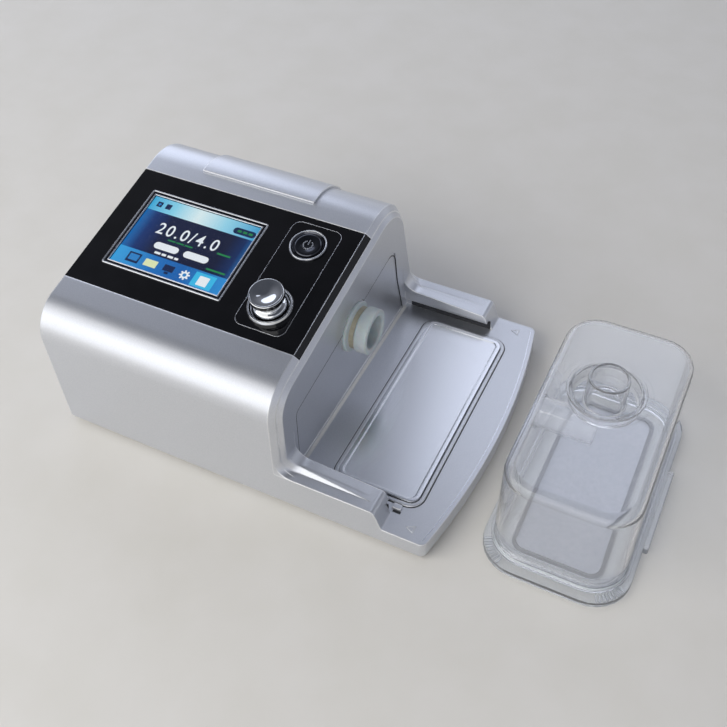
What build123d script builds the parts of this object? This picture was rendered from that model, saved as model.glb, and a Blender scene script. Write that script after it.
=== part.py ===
"""Bedside positive-airway-pressure machine with a lift-off humidifier tank.

Millimetres. +X runs along the machine from its plain end to the tank bay, +Y to the back, +Z up.
The origin is on the table, at the centre of the rectangle that the machine and the tank beside it cover.
Most sketches are drawn on planes whose corner is the machine's front left corner: `ground` for plans,
`side` for profiles across the depth, `front` for elevations, and the two sloping ones, `panel` and `rear`.
"""

import os
from math import asin, cos, pi, radians, sin, tan

from build123d import *

os.makedirs("parts", exist_ok=True)

# ---------------------------------------------------------------- driving dimensions
# Machine envelope
DEPTH = 175.0                # front face to rear arm
LIP_CORNER_X = 232.8         # length along the front and rear edges
LIP_BULGE = 9.6              # how far the curved lip stands out beyond its corners
LIP_CORNER_RADIUS = 4.0
FOOT_HEIGHT = 1.6            # table to base pan
PAN_FLOOR = 1.8              # thickness of the base pan
PAN_INSET = 1.0              # shadow gap round the base pan
WALL = 2.4                   # moulded wall
FIT = 0.3                    # clearance between separate mouldings
SEAT = 0.1                   # clearance of a piece in the seat that holds it
RUNNING = 0.05               # radial clearance of a shaft in its bore

# Side profile
PANEL_SLOPE = 10.6           # degrees
PANEL_FRONT_Y = 30.1
PANEL_FRONT_Z = 93.1
PANEL_REAR_GAP = 9.5         # panel to where the crest starts, along the slope
PANEL_THICKNESS = 3.0
NOSE_RADIUS = 22.0
CREST_RADIUS = 31.0
REAR_LEAN = 15.0             # degrees from upright
SKIRT_HEIGHT = 29.0          # where the rear face turns upright
SKIRT_RADIUS = 20.0

# Tank bay
BAY_WALL_X = 148.8           # foot of the bay's side wall
BAY_WALL_LEAN = 1.5          # degrees, follows the draft of the tank
RIM_PROUD = 2.5              # the bay wall stands out of the tall end by this
COLLAR_CHAMFER = 3.0
RIM_STEP = 0.4               # flat ring between the chamfer and the rim's bevel
DECK_HEIGHT = 14.3           # floor of the bay and top of the lip
ARM_HEIGHT = 27.0
ARM_WIDTH = 15.5
ARM_END_X = 203.6
ARM_END_RUN = 4.6            # the arm's end leans out by this to its foot
ARM_END_RADIUS = 3.5
ARM_STRIP_WIDTH = 6.0        # lower outer strip of the arm's top
ARM_STEP = 3.2               # inner strip above the outer one, at the tall end
COVE_RADIUS = 9.5
RAIL_DEPTH = 3.5             # groove in each arm for the tank's flange
RAIL_HEIGHT = 6.9
ARM_HOLLOW = 7.2             # width of the hollow inside each arm
LIP_EDGE_RADIUS = 1.0

# Port on the bay wall
PORT_Z = 63.5
PORT_PANEL_CORNERS = ((19.0, 17.5), (19.0, 61.2), (141.5, 78.0), (147.0, 48.0), (156.0, 17.5))
PORT_PANEL_RADII = (4.0, 7.0, 40.0)
PORT_PANEL_THICKNESS = 2.2
PORT_RECESS = 0.4
PORT_LEDGE = 3.0             # width of the ledge that the port panel rests on
PORT_BORE_RADIUS = 9.0
PORT_SPIGOT_OUTER = 6.0      # spigot outside and inside the bay wall
PORT_SPIGOT_INNER = 12.0
SPIGOT_WALL = 1.4
SPIGOT_LENGTH = 6.0          # the blower's own spigot
SEAL_FLANGE_THICKNESS = 1.8
SEAL_LIP = 0.8               # mouth of the nozzle beyond the bore
SEAL_NECK_LENGTH = 5.6
SEAL_ROUND = 0.8
SEAL_NECK_RADIUS = 11.8
SEAL_RIM_RADIUS = 13.5
SEAL_FLANGE_RADIUS = 15.0
SEAL_LENGTH = 13.5

# Controls on the panel
SCREEN_X = 53.4
SCREEN_BEHIND = 1.15         # the screen sits behind the panel's middle by this
BEZEL_LENGTH = 78.0
BEZEL_HEIGHT = 57.0
BEZEL_WIDTH = 3.4
BEZEL_PROUD = 0.9
BEZEL_CORNER = 1.6
BEZEL_LAP = 1.4              # the bezel overlaps the panel by this
LENS_DEPTH = 0.5
LENS_LAP = 1.0
LENS_THICKNESS = 1.2
DISPLAY_THICKNESS = 3.6
DISPLAY_LAP = 1.5
CONTROL_X = 120.0
BUTTON_INSET = 19.0          # button's centre to the panel's rear edge
BUTTON_RADIUS = 7.8
BUTTON_TRAVEL = 1.2
BUTTON_PROUD = 1.6
BUTTON_RING_RADIUS = 10.8
BUTTON_RING_PROUD = 1.2
BUTTON_SLEEVE_WALL = 1.2
BUTTON_DISH = 0.6            # hollow of the button's and the knob's top
BUTTON_FLANGE = 1.2
STEM_RADIUS = 2.5
SWITCH_SIZE = 6.0
SWITCH_HEIGHT = 4.0
SWITCH_CAP_RADIUS = 1.7
SWITCH_CAP_HEIGHT = 0.6
KNOB_V = 22.5
KNOB_RADIUS = 9.6
KNOB_NECK_RADIUS = 6.6
KNOB_HEIGHT = 12.6
KNOB_TRAVEL = 0.8
KNOB_FOOT = 1.3              # above the panel, at rest
KNOB_SKIRT_RADIUS = 9.3
KNOB_SKIRT_HEIGHT = 2.8
KNOB_LIP = 3.4               # height of the knob's rim
KNOB_RING_RADIUS = 12.7
KNOB_RING_BORE = 9.8
KNOB_RING_PROUD = 2.8
SHAFT_RADIUS = 3.0
SHAFT_TOP = 9.0
ROTOR_RADIUS = 4.6
ROTOR_TOP_DEPTH = 0.5
ROTOR_FLANGE_DEPTH = 9.0
ROTOR_FLANGE_RADIUS = 5.4
ROTOR_FLANGE_THICKNESS = 1.2
ENCODER_SIZE = 13.0
ENCODER_HEIGHT = 6.5
ENCODER_NECK_RADIUS = 6.4
ENCODER_NECK_DEPTH = 1.0
BOARD_DEPTH = 15.0           # panel surface to the board's upper face
BOARD_THICKNESS = 1.6
POST_RADIUS = 2.5
POST_INSET = 5.0             # post centres from the board's edges
PANEL_LEDGE = 6.0            # width of the ledge that the panel rests on
CONNECTOR_COUNT = 3
CONNECTOR_LENGTH = 10.0
CONNECTOR_WIDTH = 6.0
CONNECTOR_HEIGHT = 5.0

# Heater
HEATER_X = 170.0
HEATER_LENGTH_X = 49.0
HEATER_LENGTH_Y = 132.0
HEATER_CORNER = 6.0
HEATER_HEIGHT = 16.3         # top of the plate at rest
HEATER_THICKNESS = 1.5
HEATER_TRAVEL = 1.8
HEATER_BAND = 2.6            # visible width of the frame round the plate
HEATER_PAD = 1.6
HEATER_STOP = 2.0            # width of the ledge that stops the plate
FRAME_PROUD = 0.8            # the frame stands above the deck by this
FRAME_FLANGE = 2.0           # the frame's hold under the deck, both ways
SPRING_RADIUS = 3.0
SPRING_WIRE = 0.7
SPRING_TURNS = 3
SPRING_OFFSET_X = 16.0
SPRING_OFFSET_Y = 52.0
SPRING_PEG_HEIGHT = 3.0

# Blower
BLOWER_X = 60.0
BLOWER_INSET = 63.0          # blower's axis to the rear edge of the foot
BLOWER_MOUTH_X = 98.0
IMPELLER_RADIUS = 24.5
IMPELLER_HUB = 6.0
IMPELLER_HEIGHT = 19.0
IMPELLER_BLADE_COUNT = 11
IMPELLER_GAP = 2.0           # above the volute's floor
BLADE_THICKNESS = 1.2
BLADE_SWEEP = 36.0           # degrees that a blade's tip lags its root
VOLUTE_RADIUS = 27.0         # at the cut-off
VOLUTE_POINTS = 16
VOLUTE_WALL = 2.0
VOLUTE_HEIGHT = 24.0         # inside
CHANNEL_WIDTH = 19.0
EYE_RADIUS = 14.0
EYE_LIP = 3.0
MOTOR_RADIUS = 18.0
MOTOR_HEIGHT = 20.0
MOTOR_SHAFT_RADIUS = 2.0
MOTOR_END = 2.5              # thickness of the motor's ends
MAGNET_RADIUS = 13.0
CRADLE_WALL = 4.0
CRADLE_FOOT = 6.0            # width of the cradle's foot
CRADLE_GRIP = 8.0
CUFF_GRIP = 5.5              # the duct grips each spigot over this length
BELLOWS_WALL = 1.4
BELLOWS_FOLD_COUNT = 3
BELLOWS_RISE = 2.2

# Rear
COVER_X = 35.0
COVER_LENGTH = 74.0
COVER_PROUD = 1.5
COVER_SEAT_DEPTH = 0.8
COVER_END_Z = 46.0
COVER_SLOT_COUNT = 9
FILTER_LENGTH = 50.0
FILTER_HEIGHT = 26.0
FILTER_THICKNESS = 6.0
FILTER_Z = 63.0
FILTER_GAP_COUNT = 5         # openings in the filter's frame
JACK_X = 128.0
JACK_Z = 19.0
JACK_DEPTH = 10.0            # depth of the plug's hollow
JACK_PIN_SUNK = 2.0
JACK_BORE = 5.6
JACK_PIN = 2.5
JACK_BODY = 11.0
JACK_LENGTH = 12.0

# Fasteners and feet
SCREW_RADIUS = 1.5
SCREW_HEAD_RADIUS = 2.7
SCREW_HEAD_HEIGHT = 2.0
SCREW_LENGTH = 14.0
SCREW_SEAT_Z = 4.0
SCREW_TIP_ROOM = 1.0
ARM_SCREW_X = 190.0
BOSS_RADIUS = 5.0
BOSS_FOOT_Z = 6.0
BOSS_HEIGHT = 20.0
BOSS_INSET = 6.6
CUP_RADIUS = 3.9             # cup in the base pan round a screw head
FOOT_RADIUS = 7.0
FOOT_INSET = 17.0
FOOT_SEAT = 1.0

# Tank
TANK_GAP = 13.1              # lip to the tank's flange
TANK_FRONT_Y = 11.0
TANK_FLANGE_X = 81.0
TANK_FLANGE_Y = 148.0
TANK_FLANGE_CORNER = 22.0
TANK_FLANGE_THICKNESS = 4.0
TANK_X = 73.0
TANK_Y = 134.0
TANK_CORNER = 20.0
TANK_HEIGHT = 66.0
TANK_DRAFT = 1.0             # degrees
TANK_WALL = 2.0
TANK_CROWN = 6.0             # radius of the top edge
TANK_FOOT = 1.6              # rim round the foot of the cover
TANK_PLATE_X = 51.0
TANK_PLATE_Y = 116.0
TANK_PLATE_CORNER = 8.0
TANK_PLATE_THICKNESS = 1.2
TANK_LEDGE = 2.5             # the base overlaps the plate's edge by this
TANK_FLOOR_Z = 2.8
GASKET = 1.4
GASKET_SUNK = 0.7
UPSTAND = 3.4                # height of the base's locating rib
UPSTAND_WALL = 1.5
OUTLET_OFFSET_X = -2.5       # from the tank's centre
OUTLET_OFFSET_Y = 13.0
OUTLET_RADIUS = 11.0         # 22 mm hose connector
OUTLET_WALL = 1.8
OUTLET_RISE = 10.0           # above the tank's top
WELL_RADIUS = 18.0
WELL_DEPTH = 8.0
WELL_WALL = 1.6
WELL_FLANGE = 1.6
WELL_FLANGE_THICKNESS = 0.8
DUCT_RADIUS = 7.5
DUCT_COLLAR = 1.2
DUCT_WALL = 1.4
DUCT_LENGTH = 34.0
GRIP_LENGTH = 55.0           # finger ledge on the flange
GRIP_OFFSET_Y = -4.5
GRIP_PROUD = 2.5
GRIP_HEIGHT = 5.0
GRIP_WIDTH = 3.0

# ---------------------------------------------------------------- side profile
SLOPE = radians(PANEL_SLOPE)
LEAN = radians(REAR_LEAN)


def side_points(inset, roof, floor_z):
    """Corners of the side profile, drawn in by `inset`, with its sloping top lowered by `roof`."""
    top_z = PANEL_FRONT_Z - PANEL_FRONT_Y * tan(SLOPE) - roof / cos(SLOPE)
    rear_y = DEPTH - inset / cos(LEAN) + SKIRT_HEIGHT * tan(LEAN)
    crest_z = (top_z + rear_y * tan(SLOPE)) / (1 + tan(LEAN) * tan(SLOPE))
    skirt_z = (rear_y - DEPTH + inset) / tan(LEAN)
    return [
        (inset, floor_z),
        (inset, top_z + inset * tan(SLOPE)),
        (rear_y - crest_z * tan(LEAN), crest_z),
        (DEPTH - inset, skirt_z),
        (DEPTH - inset, floor_z),
    ]


# ---------------------------------------------------------------- derived places
DRAFT = radians(BAY_WALL_LEAN)
CREST_CORNER_Y, CREST_CORNER_Z = side_points(0, 0, 0)[2]
CREST_TANGENT = CREST_RADIUS * tan((pi / 2 + SLOPE - LEAN) / 2)
PANEL_LENGTH = (CREST_CORNER_Y - PANEL_FRONT_Y) / cos(SLOPE) - CREST_TANGENT - PANEL_REAR_GAP
SCREEN_V = PANEL_LENGTH / 2 + SCREEN_BEHIND
BUTTON_V = PANEL_LENGTH - BUTTON_INSET
BLOWER_Y = DEPTH - BLOWER_INSET
LIP_X = LIP_CORNER_X + LIP_BULGE
TANK_LEFT = LIP_X + TANK_GAP
SET_LENGTH = TANK_LEFT + TANK_FLANGE_X + GRIP_PROUD
LEFT = -SET_LENGTH / 2
FRONT = -DEPTH / 2
SPLIT_Z = FOOT_HEIGHT + PAN_FLOOR
ARM_FOOT_X = ARM_END_X + ARM_END_RUN
ARM_STRIP_END_X = ARM_END_X - ARM_END_RADIUS
BEYOND = 2 * LIP_X           # clear of the lip, for cuts
ABOVE = 2 * PANEL_FRONT_Z    # clear of the top, for cuts
JOIN = 1.0                   # overlap of solids that are joined or cut
SPIGOT_RADIUS = PORT_BORE_RADIUS + SPIGOT_WALL
PORT_SEAT_DEPTH = PORT_RECESS + PORT_PANEL_THICKNESS
PORT_X = BAY_WALL_X + PORT_Z * tan(DRAFT)
WINDOW_X = BEZEL_LENGTH - 2 * BEZEL_WIDTH
WINDOW_Y = BEZEL_HEIGHT - 2 * BEZEL_WIDTH
SKIRT_X = BEZEL_LENGTH - 2 * BEZEL_LAP
SKIRT_Y = BEZEL_HEIGHT - 2 * BEZEL_LAP
GLASS_X = WINDOW_X + 2 * LENS_LAP
GLASS_Y = WINDOW_Y + 2 * LENS_LAP
BUTTON_HOLE_RADIUS = BUTTON_RADIUS + FIT
BUTTON_SLEEVE_RADIUS = BUTTON_HOLE_RADIUS + BUTTON_SLEEVE_WALL
SHAFT_DEPTH = BOARD_DEPTH - 2 * FIT - KNOB_TRAVEL
BUTTON_STEM_END = SWITCH_HEIGHT + BUTTON_TRAVEL + RUNNING - BOARD_DEPTH
PANEL_WINDOW_X = BAY_WALL_X - RIM_PROUD - 2 * PANEL_LEDGE
BOARD_X = PANEL_WINDOW_X - 2 * FIT
BOARD_Y = PANEL_LENGTH - 2 * PANEL_LEDGE - 2 * FIT
FRAME_X = HEATER_LENGTH_X + 2 * HEATER_BAND
FRAME_Y = HEATER_LENGTH_Y + 2 * HEATER_BAND
FRAME_CORNER = HEATER_CORNER + HEATER_BAND
PAD_X = HEATER_LENGTH_X - 2 * HEATER_STOP
PAD_Y = HEATER_LENGTH_Y - 2 * HEATER_STOP
PAD_TOP_Z = HEATER_HEIGHT - HEATER_THICKNESS
PAD_FOOT_Z = PAD_TOP_Z - HEATER_PAD
FRAME_FOOT_Z = DECK_HEIGHT - WALL - FRAME_FLANGE
SPRING_RUN = PAD_FOOT_Z - SPLIT_Z - SPRING_WIRE - 2 * RUNNING
SPRING_PEG_RADIUS = SPRING_RADIUS - SPRING_WIRE / 2 - FIT
VOLUTE_FLOOR_Z = PORT_Z - VOLUTE_HEIGHT / 2
FILTER_X = COVER_X + COVER_LENGTH / 2
FILTER_POCKET = FILTER_THICKNESS + FIT
COVER_SLOT_PITCH = FILTER_LENGTH / COVER_SLOT_COUNT
TANK_INSIDE_X = TANK_X - 2 * TANK_WALL
TANK_INSIDE_Y = TANK_Y - 2 * TANK_WALL
TANK_INSIDE_CORNER = TANK_CORNER - TANK_WALL
COVER_FOOT_Z = TANK_FLANGE_THICKNESS - GASKET_SUNK + GASKET
DUCT_Z = PORT_Z - HEATER_HEIGHT
DUCT_OUTER = DUCT_RADIUS + DUCT_WALL
WELL_OUTER = WELL_RADIUS + WELL_WALL

heater_centre = (HEATER_X + HEATER_LENGTH_X / 2, DEPTH / 2)
spring_places = [
    (heater_centre[0] + turn_x * SPRING_OFFSET_X, heater_centre[1] + turn_y * SPRING_OFFSET_Y)
    for turn_x in (-1, 1)
    for turn_y in (-1, 1)
]
screw_places = [
    (x, y) for x in (BOSS_INSET, ARM_SCREW_X) for y in (BOSS_INSET, DEPTH - BOSS_INSET)
]
foot_places = [
    (x, y) for x in (FOOT_INSET, LIP_CORNER_X - FOOT_INSET) for y in (FOOT_INSET, DEPTH - FOOT_INSET)
]
board_centre = (PANEL_LEDGE + PANEL_WINDOW_X / 2, PANEL_LENGTH / 2)
post_places = [
    (
        board_centre[0] + turn_x * (BOARD_X / 2 - POST_INSET),
        board_centre[1] + turn_v * (BOARD_Y / 2 - POST_INSET),
    )
    for turn_x in (-1, 1)
    for turn_v in (-1, 1)
]
screen_centre = (SCREEN_X, SCREEN_V)
button_centre = (CONTROL_X, BUTTON_V)
knob_centre = (CONTROL_X, KNOB_V)
filter_centre = (-FILTER_X, (FILTER_Z - SKIRT_HEIGHT) / cos(LEAN))

ground = Plane(origin=(LEFT, FRONT, 0))
side = Plane(origin=(LEFT, FRONT, 0), x_dir=(0, 1, 0), z_dir=(1, 0, 0))
front = Plane(origin=(LEFT, FRONT, 0), x_dir=(1, 0, 0), z_dir=(0, -1, 0))
panel = Plane(
    origin=(LEFT, FRONT + PANEL_FRONT_Y, PANEL_FRONT_Z),
    x_dir=(1, 0, 0),
    z_dir=(0, -sin(SLOPE), cos(SLOPE)),
)
rear = Plane(
    origin=(LEFT, FRONT + DEPTH, SKIRT_HEIGHT),
    x_dir=(-1, 0, 0),
    z_dir=(0, cos(LEAN), sin(LEAN)),
)
bay_wall = Plane(
    origin=(LEFT + BAY_WALL_X, FRONT, 0),
    x_dir=(0, 1, 0),
    z_dir=(cos(DRAFT), 0, -sin(DRAFT)),
)
tall_end = bay_wall.offset(-RIM_PROUD)
blower_mouth = Plane(
    origin=(LEFT + BLOWER_MOUTH_X, FRONT + DEPTH / 2, PORT_Z), x_dir=(0, 1, 0), z_dir=(1, 0, 0)
)
tank = Plane(
    origin=(LEFT + TANK_LEFT + TANK_FLANGE_X / 2, FRONT + TANK_FRONT_Y + TANK_FLANGE_Y / 2, 0),
)
duct_mouth = Plane(
    origin=tank.from_local_coords(
        ((DUCT_Z - COVER_FOOT_Z) * tan(radians(TANK_DRAFT)) - TANK_X / 2, 0, DUCT_Z)
    ),
    x_dir=(0, 1, 0),
    z_dir=(1, 0, 0),
)


def half_section(centre, axis_direction, across):
    """Plane for a half profile: local x runs out from the axis, local y along it."""
    return Plane(origin=centre, x_dir=across, z_dir=Vector(across).cross(Vector(axis_direction)))


port_centre = (LEFT + PORT_X, FRONT + DEPTH / 2, PORT_Z)
port_axis = Axis(port_centre, (1, 0, 0))
port_section = half_section(port_centre, (1, 0, 0), (0, 0, 1))
button_axis = Axis(panel.from_local_coords((*button_centre, 0)), panel.z_dir)
button_section = half_section(button_axis.position, panel.z_dir, (1, 0, 0))
knob_axis = Axis(panel.from_local_coords((*knob_centre, 0)), panel.z_dir)
knob_section = half_section(knob_axis.position, panel.z_dir, (1, 0, 0))
blower_axis = Axis((LEFT + BLOWER_X, FRONT + BLOWER_Y, VOLUTE_FLOOR_Z), (0, 0, 1))
blower_section = half_section(blower_axis.position, (0, 0, 1), (1, 0, 0))
outlet_axis = Axis(tank.from_local_coords((OUTLET_OFFSET_X, OUTLET_OFFSET_Y, TANK_HEIGHT)), (0, 0, 1))
outlet_section = half_section(outlet_axis.position, (0, 0, 1), (1, 0, 0))


def bay_wall_x(z):
    """Distance from the machine's left end to the bay wall at a height."""
    return BAY_WALL_X + z * tan(DRAFT)


def side_outline(inset, roof, floor_z):
    """Draw the closed side profile in the current line builder."""
    corners = side_points(inset, roof, floor_z)
    radii = [NOSE_RADIUS - inset, CREST_RADIUS - inset, SKIRT_RADIUS]
    FilletPolyline(*corners, radius=radii)
    Line(corners[-1], corners[0])


def plan_outline(inset, start_x):
    """Draw the closed plan of the machine from `start_x` to its curved lip, drawn in by `inset`."""
    near = (LIP_CORNER_X - inset, inset)
    far = (LIP_CORNER_X - inset, DEPTH - inset)
    Polyline(near, (start_x, inset), (start_x, DEPTH - inset), far)
    ThreePointArc(near, (LIP_X - inset, DEPTH / 2), far)


def port_outline():
    """Draw the closed outline of the inset panel on the bay wall."""
    FilletPolyline(*PORT_PANEL_CORNERS, radius=list(PORT_PANEL_RADII))
    Line(PORT_PANEL_CORNERS[-1], PORT_PANEL_CORNERS[0])


def cover_outline(depth, proud, grow):
    """Draw the band round the rear crest and down the rear face, from `depth` under the surface
    to `proud` above it, lengthened by `grow` at both ends."""
    centre_y = CREST_CORNER_Y - CREST_TANGENT * cos(SLOPE) + CREST_RADIUS * sin(SLOPE)
    centre_z = CREST_CORNER_Z - CREST_TANGENT * sin(SLOPE) - CREST_RADIUS * cos(SLOPE)
    first = pi / 2 + SLOPE + grow / CREST_RADIUS
    run = (centre_z + CREST_RADIUS * sin(LEAN) - COVER_END_Z) / cos(LEAN) + grow
    rings = []
    for radius in (CREST_RADIUS - depth, CREST_RADIUS + proud):
        spots = [
            (centre_y + radius * cos(angle), centre_z + radius * sin(angle))
            for angle in (first, (first + LEAN) / 2, LEAN)
        ]
        foot = (spots[2][0] + run * sin(LEAN), spots[2][1] - run * cos(LEAN))
        ThreePointArc(*spots)
        Line(spots[2], foot)
        rings.append((spots[0], foot))
    Line(rings[0][0], rings[1][0])
    Line(rings[0][1], rings[1][1])


def volute_outline(grow):
    """Draw the blower's spiral plan with its straight outlet, drawn out by `grow`.

    The radius grows evenly with the angle, from the cut-off to the outlet's far wall.
    """
    near_y = DEPTH / 2 + CHANNEL_WIDTH / 2 + grow
    far_y = DEPTH / 2 - CHANNEL_WIDTH / 2 - grow
    mouth_x = BLOWER_MOUTH_X - VOLUTE_WALL + grow
    first_radius = VOLUTE_RADIUS + grow
    last_radius = BLOWER_Y - far_y
    first = asin((near_y - BLOWER_Y) / first_radius)
    spots = []
    for step in range(VOLUTE_POINTS + 1):
        part = step / VOLUTE_POINTS
        angle = first + part * (3 * pi / 2 - first)
        radius = first_radius + part * (last_radius - first_radius)
        spots.append((BLOWER_X + radius * cos(angle), BLOWER_Y + radius * sin(angle)))
    Spline(*spots)
    Polyline(spots[-1], (mouth_x, far_y), (mouth_x, near_y), spots[0])


def bellows_points():
    """Half profile of the air duct: a plain cuff at each end and a zigzag between."""
    first = BLOWER_MOUTH_X + SEAT - PORT_X
    last = CUFF_GRIP - PORT_SPIGOT_INNER
    start = BLOWER_MOUTH_X + SPIGOT_LENGTH + SEAT - PORT_X
    end = -PORT_SPIGOT_INNER - SEAT
    bore = SPIGOT_RADIUS + RUNNING
    inner = [(bore, first)]
    for step in range(2 * BELLOWS_FOLD_COUNT + 1):
        along = start + step * (end - start) / (2 * BELLOWS_FOLD_COUNT)
        inner.append((bore + BELLOWS_RISE * (step % 2), along))
    inner.append((bore, last))
    outer = [(radius + BELLOWS_WALL, along) for radius, along in reversed(inner)]
    return inner + outer


def gasket_ring(grow):
    """The gasket's plan in the current sketch, with `grow` of room on both sides."""
    RectangleRounded(TANK_X + 2 * grow, TANK_Y + 2 * grow, TANK_CORNER + grow)
    RectangleRounded(
        TANK_INSIDE_X - 2 * grow, TANK_INSIDE_Y - 2 * grow, TANK_INSIDE_CORNER - grow, mode=Mode.SUBTRACT
    )


# ---------------------------------------------------------------- the tall body's envelope
with BuildPart() as envelope:
    with BuildSketch(side):
        with BuildLine():
            side_outline(0, 0, SPLIT_Z)
        make_face()
    extrude(amount=BAY_WALL_X + RIM_PROUD)
    split(bisect_by=tall_end, keep=Keep.BOTTOM)
    end_edges = faces().sort_by(Axis.X)[-1].edges()
    chamfer(end_edges.filter_by(lambda edge: edge.center().Z > SPLIT_Z + JOIN), COLLAR_CHAMFER)

with BuildPart() as tall_cavity:
    with BuildSketch(side.offset(WALL)):
        with BuildLine():
            side_outline(WALL, PANEL_THICKNESS + WALL, SPLIT_Z)
        make_face()
    extrude(amount=BAY_WALL_X)
    split(bisect_by=tall_end.offset(-WALL), keep=Keep.BOTTOM)

# ---------------------------------------------------------------- top housing and the bay's rails
with BuildPart() as upper_moulding:
    add(envelope.part)
    # rim of the bay wall, bevelled all round
    with BuildSketch(tall_end):
        with BuildLine():
            side_outline(COLLAR_CHAMFER + RIM_STEP, COLLAR_CHAMFER + RIM_STEP, SPLIT_Z)
        make_face()
    extrude(amount=RIM_PROUD, taper=45)
    # arms, deck and curved lip
    with BuildSketch(ground.offset(SPLIT_Z)):
        with BuildLine():
            plan_outline(0, BAY_WALL_X / 2)
        make_face()
        fillet(vertices().group_by(Axis.X)[-1], LIP_CORNER_RADIUS)
    extrude(amount=ARM_HEIGHT - SPLIT_Z)
    # raised inner strips of the arms, falling to nothing near the arms' ends
    for strip_y in (ARM_STRIP_WIDTH, DEPTH - ARM_WIDTH):
        with BuildSketch(front.offset(-strip_y)):
            Polygon(
                (BAY_WALL_X - 2 * WALL, ARM_HEIGHT - JOIN),
                (ARM_STRIP_END_X, ARM_HEIGHT - JOIN),
                (ARM_STRIP_END_X, ARM_HEIGHT),
                (BAY_WALL_X, ARM_HEIGHT + ARM_STEP),
                (BAY_WALL_X - 2 * WALL, ARM_HEIGHT + ARM_STEP),
                align=None,
            )
        extrude(amount=-(ARM_WIDTH - ARM_STRIP_WIDTH))
    # coves where the tall end runs into the arms, and where its rim runs into the raised strips
    strip_reach = ARM_WIDTH - ARM_STRIP_WIDTH - ARM_STEP
    strip_z = ARM_HEIGHT + ARM_STEP * (1 - COVE_RADIUS / (ARM_STRIP_END_X - BAY_WALL_X))
    for cove_y, reach, foot_x, foot_z in (
        (COLLAR_CHAMFER, ARM_WIDTH - COLLAR_CHAMFER, bay_wall_x(ARM_HEIGHT) - RIM_PROUD, ARM_HEIGHT),
        (DEPTH - ARM_WIDTH, ARM_WIDTH - COLLAR_CHAMFER, bay_wall_x(ARM_HEIGHT) - RIM_PROUD, ARM_HEIGHT),
        (ARM_STRIP_WIDTH + ARM_STEP, strip_reach, bay_wall_x(ARM_HEIGHT), strip_z),
        (DEPTH - ARM_WIDTH, strip_reach, bay_wall_x(ARM_HEIGHT), strip_z),
    ):
        with BuildSketch(front.offset(-cove_y)):
            with BuildLine():
                crown = (foot_x, foot_z + COVE_RADIUS)
                toe = (foot_x + COVE_RADIUS, foot_z)
                RadiusArc(crown, toe, -COVE_RADIUS)
                Polyline(
                    toe,
                    (toe[0], foot_z - JOIN),
                    (foot_x - WALL, foot_z - JOIN),
                    (foot_x - WALL, crown[1]),
                    crown,
                )
            make_face()
        extrude(amount=-reach)
    # outward bevel between the arms' two strips
    with BuildSketch(side.offset(BAY_WALL_X + RIM_PROUD)):
        for edge_y, turn in ((ARM_STRIP_WIDTH, 1), (DEPTH - ARM_STRIP_WIDTH, -1)):
            Polygon(
                (edge_y, ARM_HEIGHT),
                (edge_y, ARM_HEIGHT + ARM_WIDTH),
                (edge_y + turn * ARM_WIDTH, ARM_HEIGHT + ARM_WIDTH),
                align=None,
            )
    extrude(amount=ARM_END_X - BAY_WALL_X, mode=Mode.SUBTRACT)
    # lip, and the leaning, rounded ends of the arms
    with BuildSketch(front.offset(JOIN)):
        with BuildLine():
            FilletPolyline(
                (ARM_STRIP_END_X, ARM_HEIGHT),
                (ARM_END_X, ARM_HEIGHT),
                (ARM_FOOT_X, DECK_HEIGHT),
                (BEYOND, DECK_HEIGHT),
                radius=[ARM_END_RADIUS, LIP_EDGE_RADIUS],
            )
            Polyline(
                (BEYOND, DECK_HEIGHT),
                (BEYOND, ARM_HEIGHT + ARM_STEP),
                (ARM_STRIP_END_X, ARM_HEIGHT + ARM_STEP),
                (ARM_STRIP_END_X, ARM_HEIGHT),
            )
        make_face()
    extrude(amount=-(DEPTH + 2 * JOIN), mode=Mode.SUBTRACT)
    # the bay between the arms, and the grooves under the arms for the tank's flange
    for start_y, top_z in ((ARM_WIDTH, ABOVE), (ARM_WIDTH - RAIL_DEPTH, DECK_HEIGHT + RAIL_HEIGHT)):
        with BuildSketch(front.offset(-start_y)):
            Polygon(
                (bay_wall_x(DECK_HEIGHT), DECK_HEIGHT),
                (BEYOND, DECK_HEIGHT),
                (BEYOND, top_z),
                (bay_wall_x(top_z), top_z),
                align=None,
            )
        extrude(amount=-(DEPTH - 2 * start_y), mode=Mode.SUBTRACT)
    # pocket for the control panel
    with BuildSketch(panel.offset(-PANEL_THICKNESS)):
        with Locations((0, PANEL_LENGTH / 2)):
            Rectangle(2 * BEYOND, PANEL_LENGTH)
    extrude(amount=COLLAR_CHAMFER + PANEL_THICKNESS, mode=Mode.SUBTRACT)
    # hollow inside, under the deck, and through the panel's pocket
    add(tall_cavity.part, mode=Mode.SUBTRACT)
    with BuildSketch(ground.offset(SPLIT_Z)):
        with BuildLine():
            plan_outline(WALL, BAY_WALL_X / 2)
        make_face()
    extrude(amount=DECK_HEIGHT - WALL - SPLIT_Z, mode=Mode.SUBTRACT)
    for hollow_y in (WALL, DEPTH - WALL - ARM_HOLLOW):
        with BuildSketch(front.offset(-hollow_y)):
            Polygon(
                (BAY_WALL_X - 2 * WALL - RIM_PROUD, SPLIT_Z),
                (ARM_FOOT_X - WALL, SPLIT_Z),
                (ARM_STRIP_END_X - WALL, ARM_HEIGHT - WALL),
                (BAY_WALL_X - 2 * WALL - RIM_PROUD, ARM_HEIGHT - WALL),
                align=None,
            )
        extrude(amount=-ARM_HOLLOW, mode=Mode.SUBTRACT)
    with BuildSketch(panel.offset(-PANEL_THICKNESS - 2 * WALL)):
        with Locations(board_centre):
            Rectangle(PANEL_WINDOW_X, PANEL_LENGTH - 2 * PANEL_LEDGE)
    extrude(amount=3 * WALL, mode=Mode.SUBTRACT)
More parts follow.
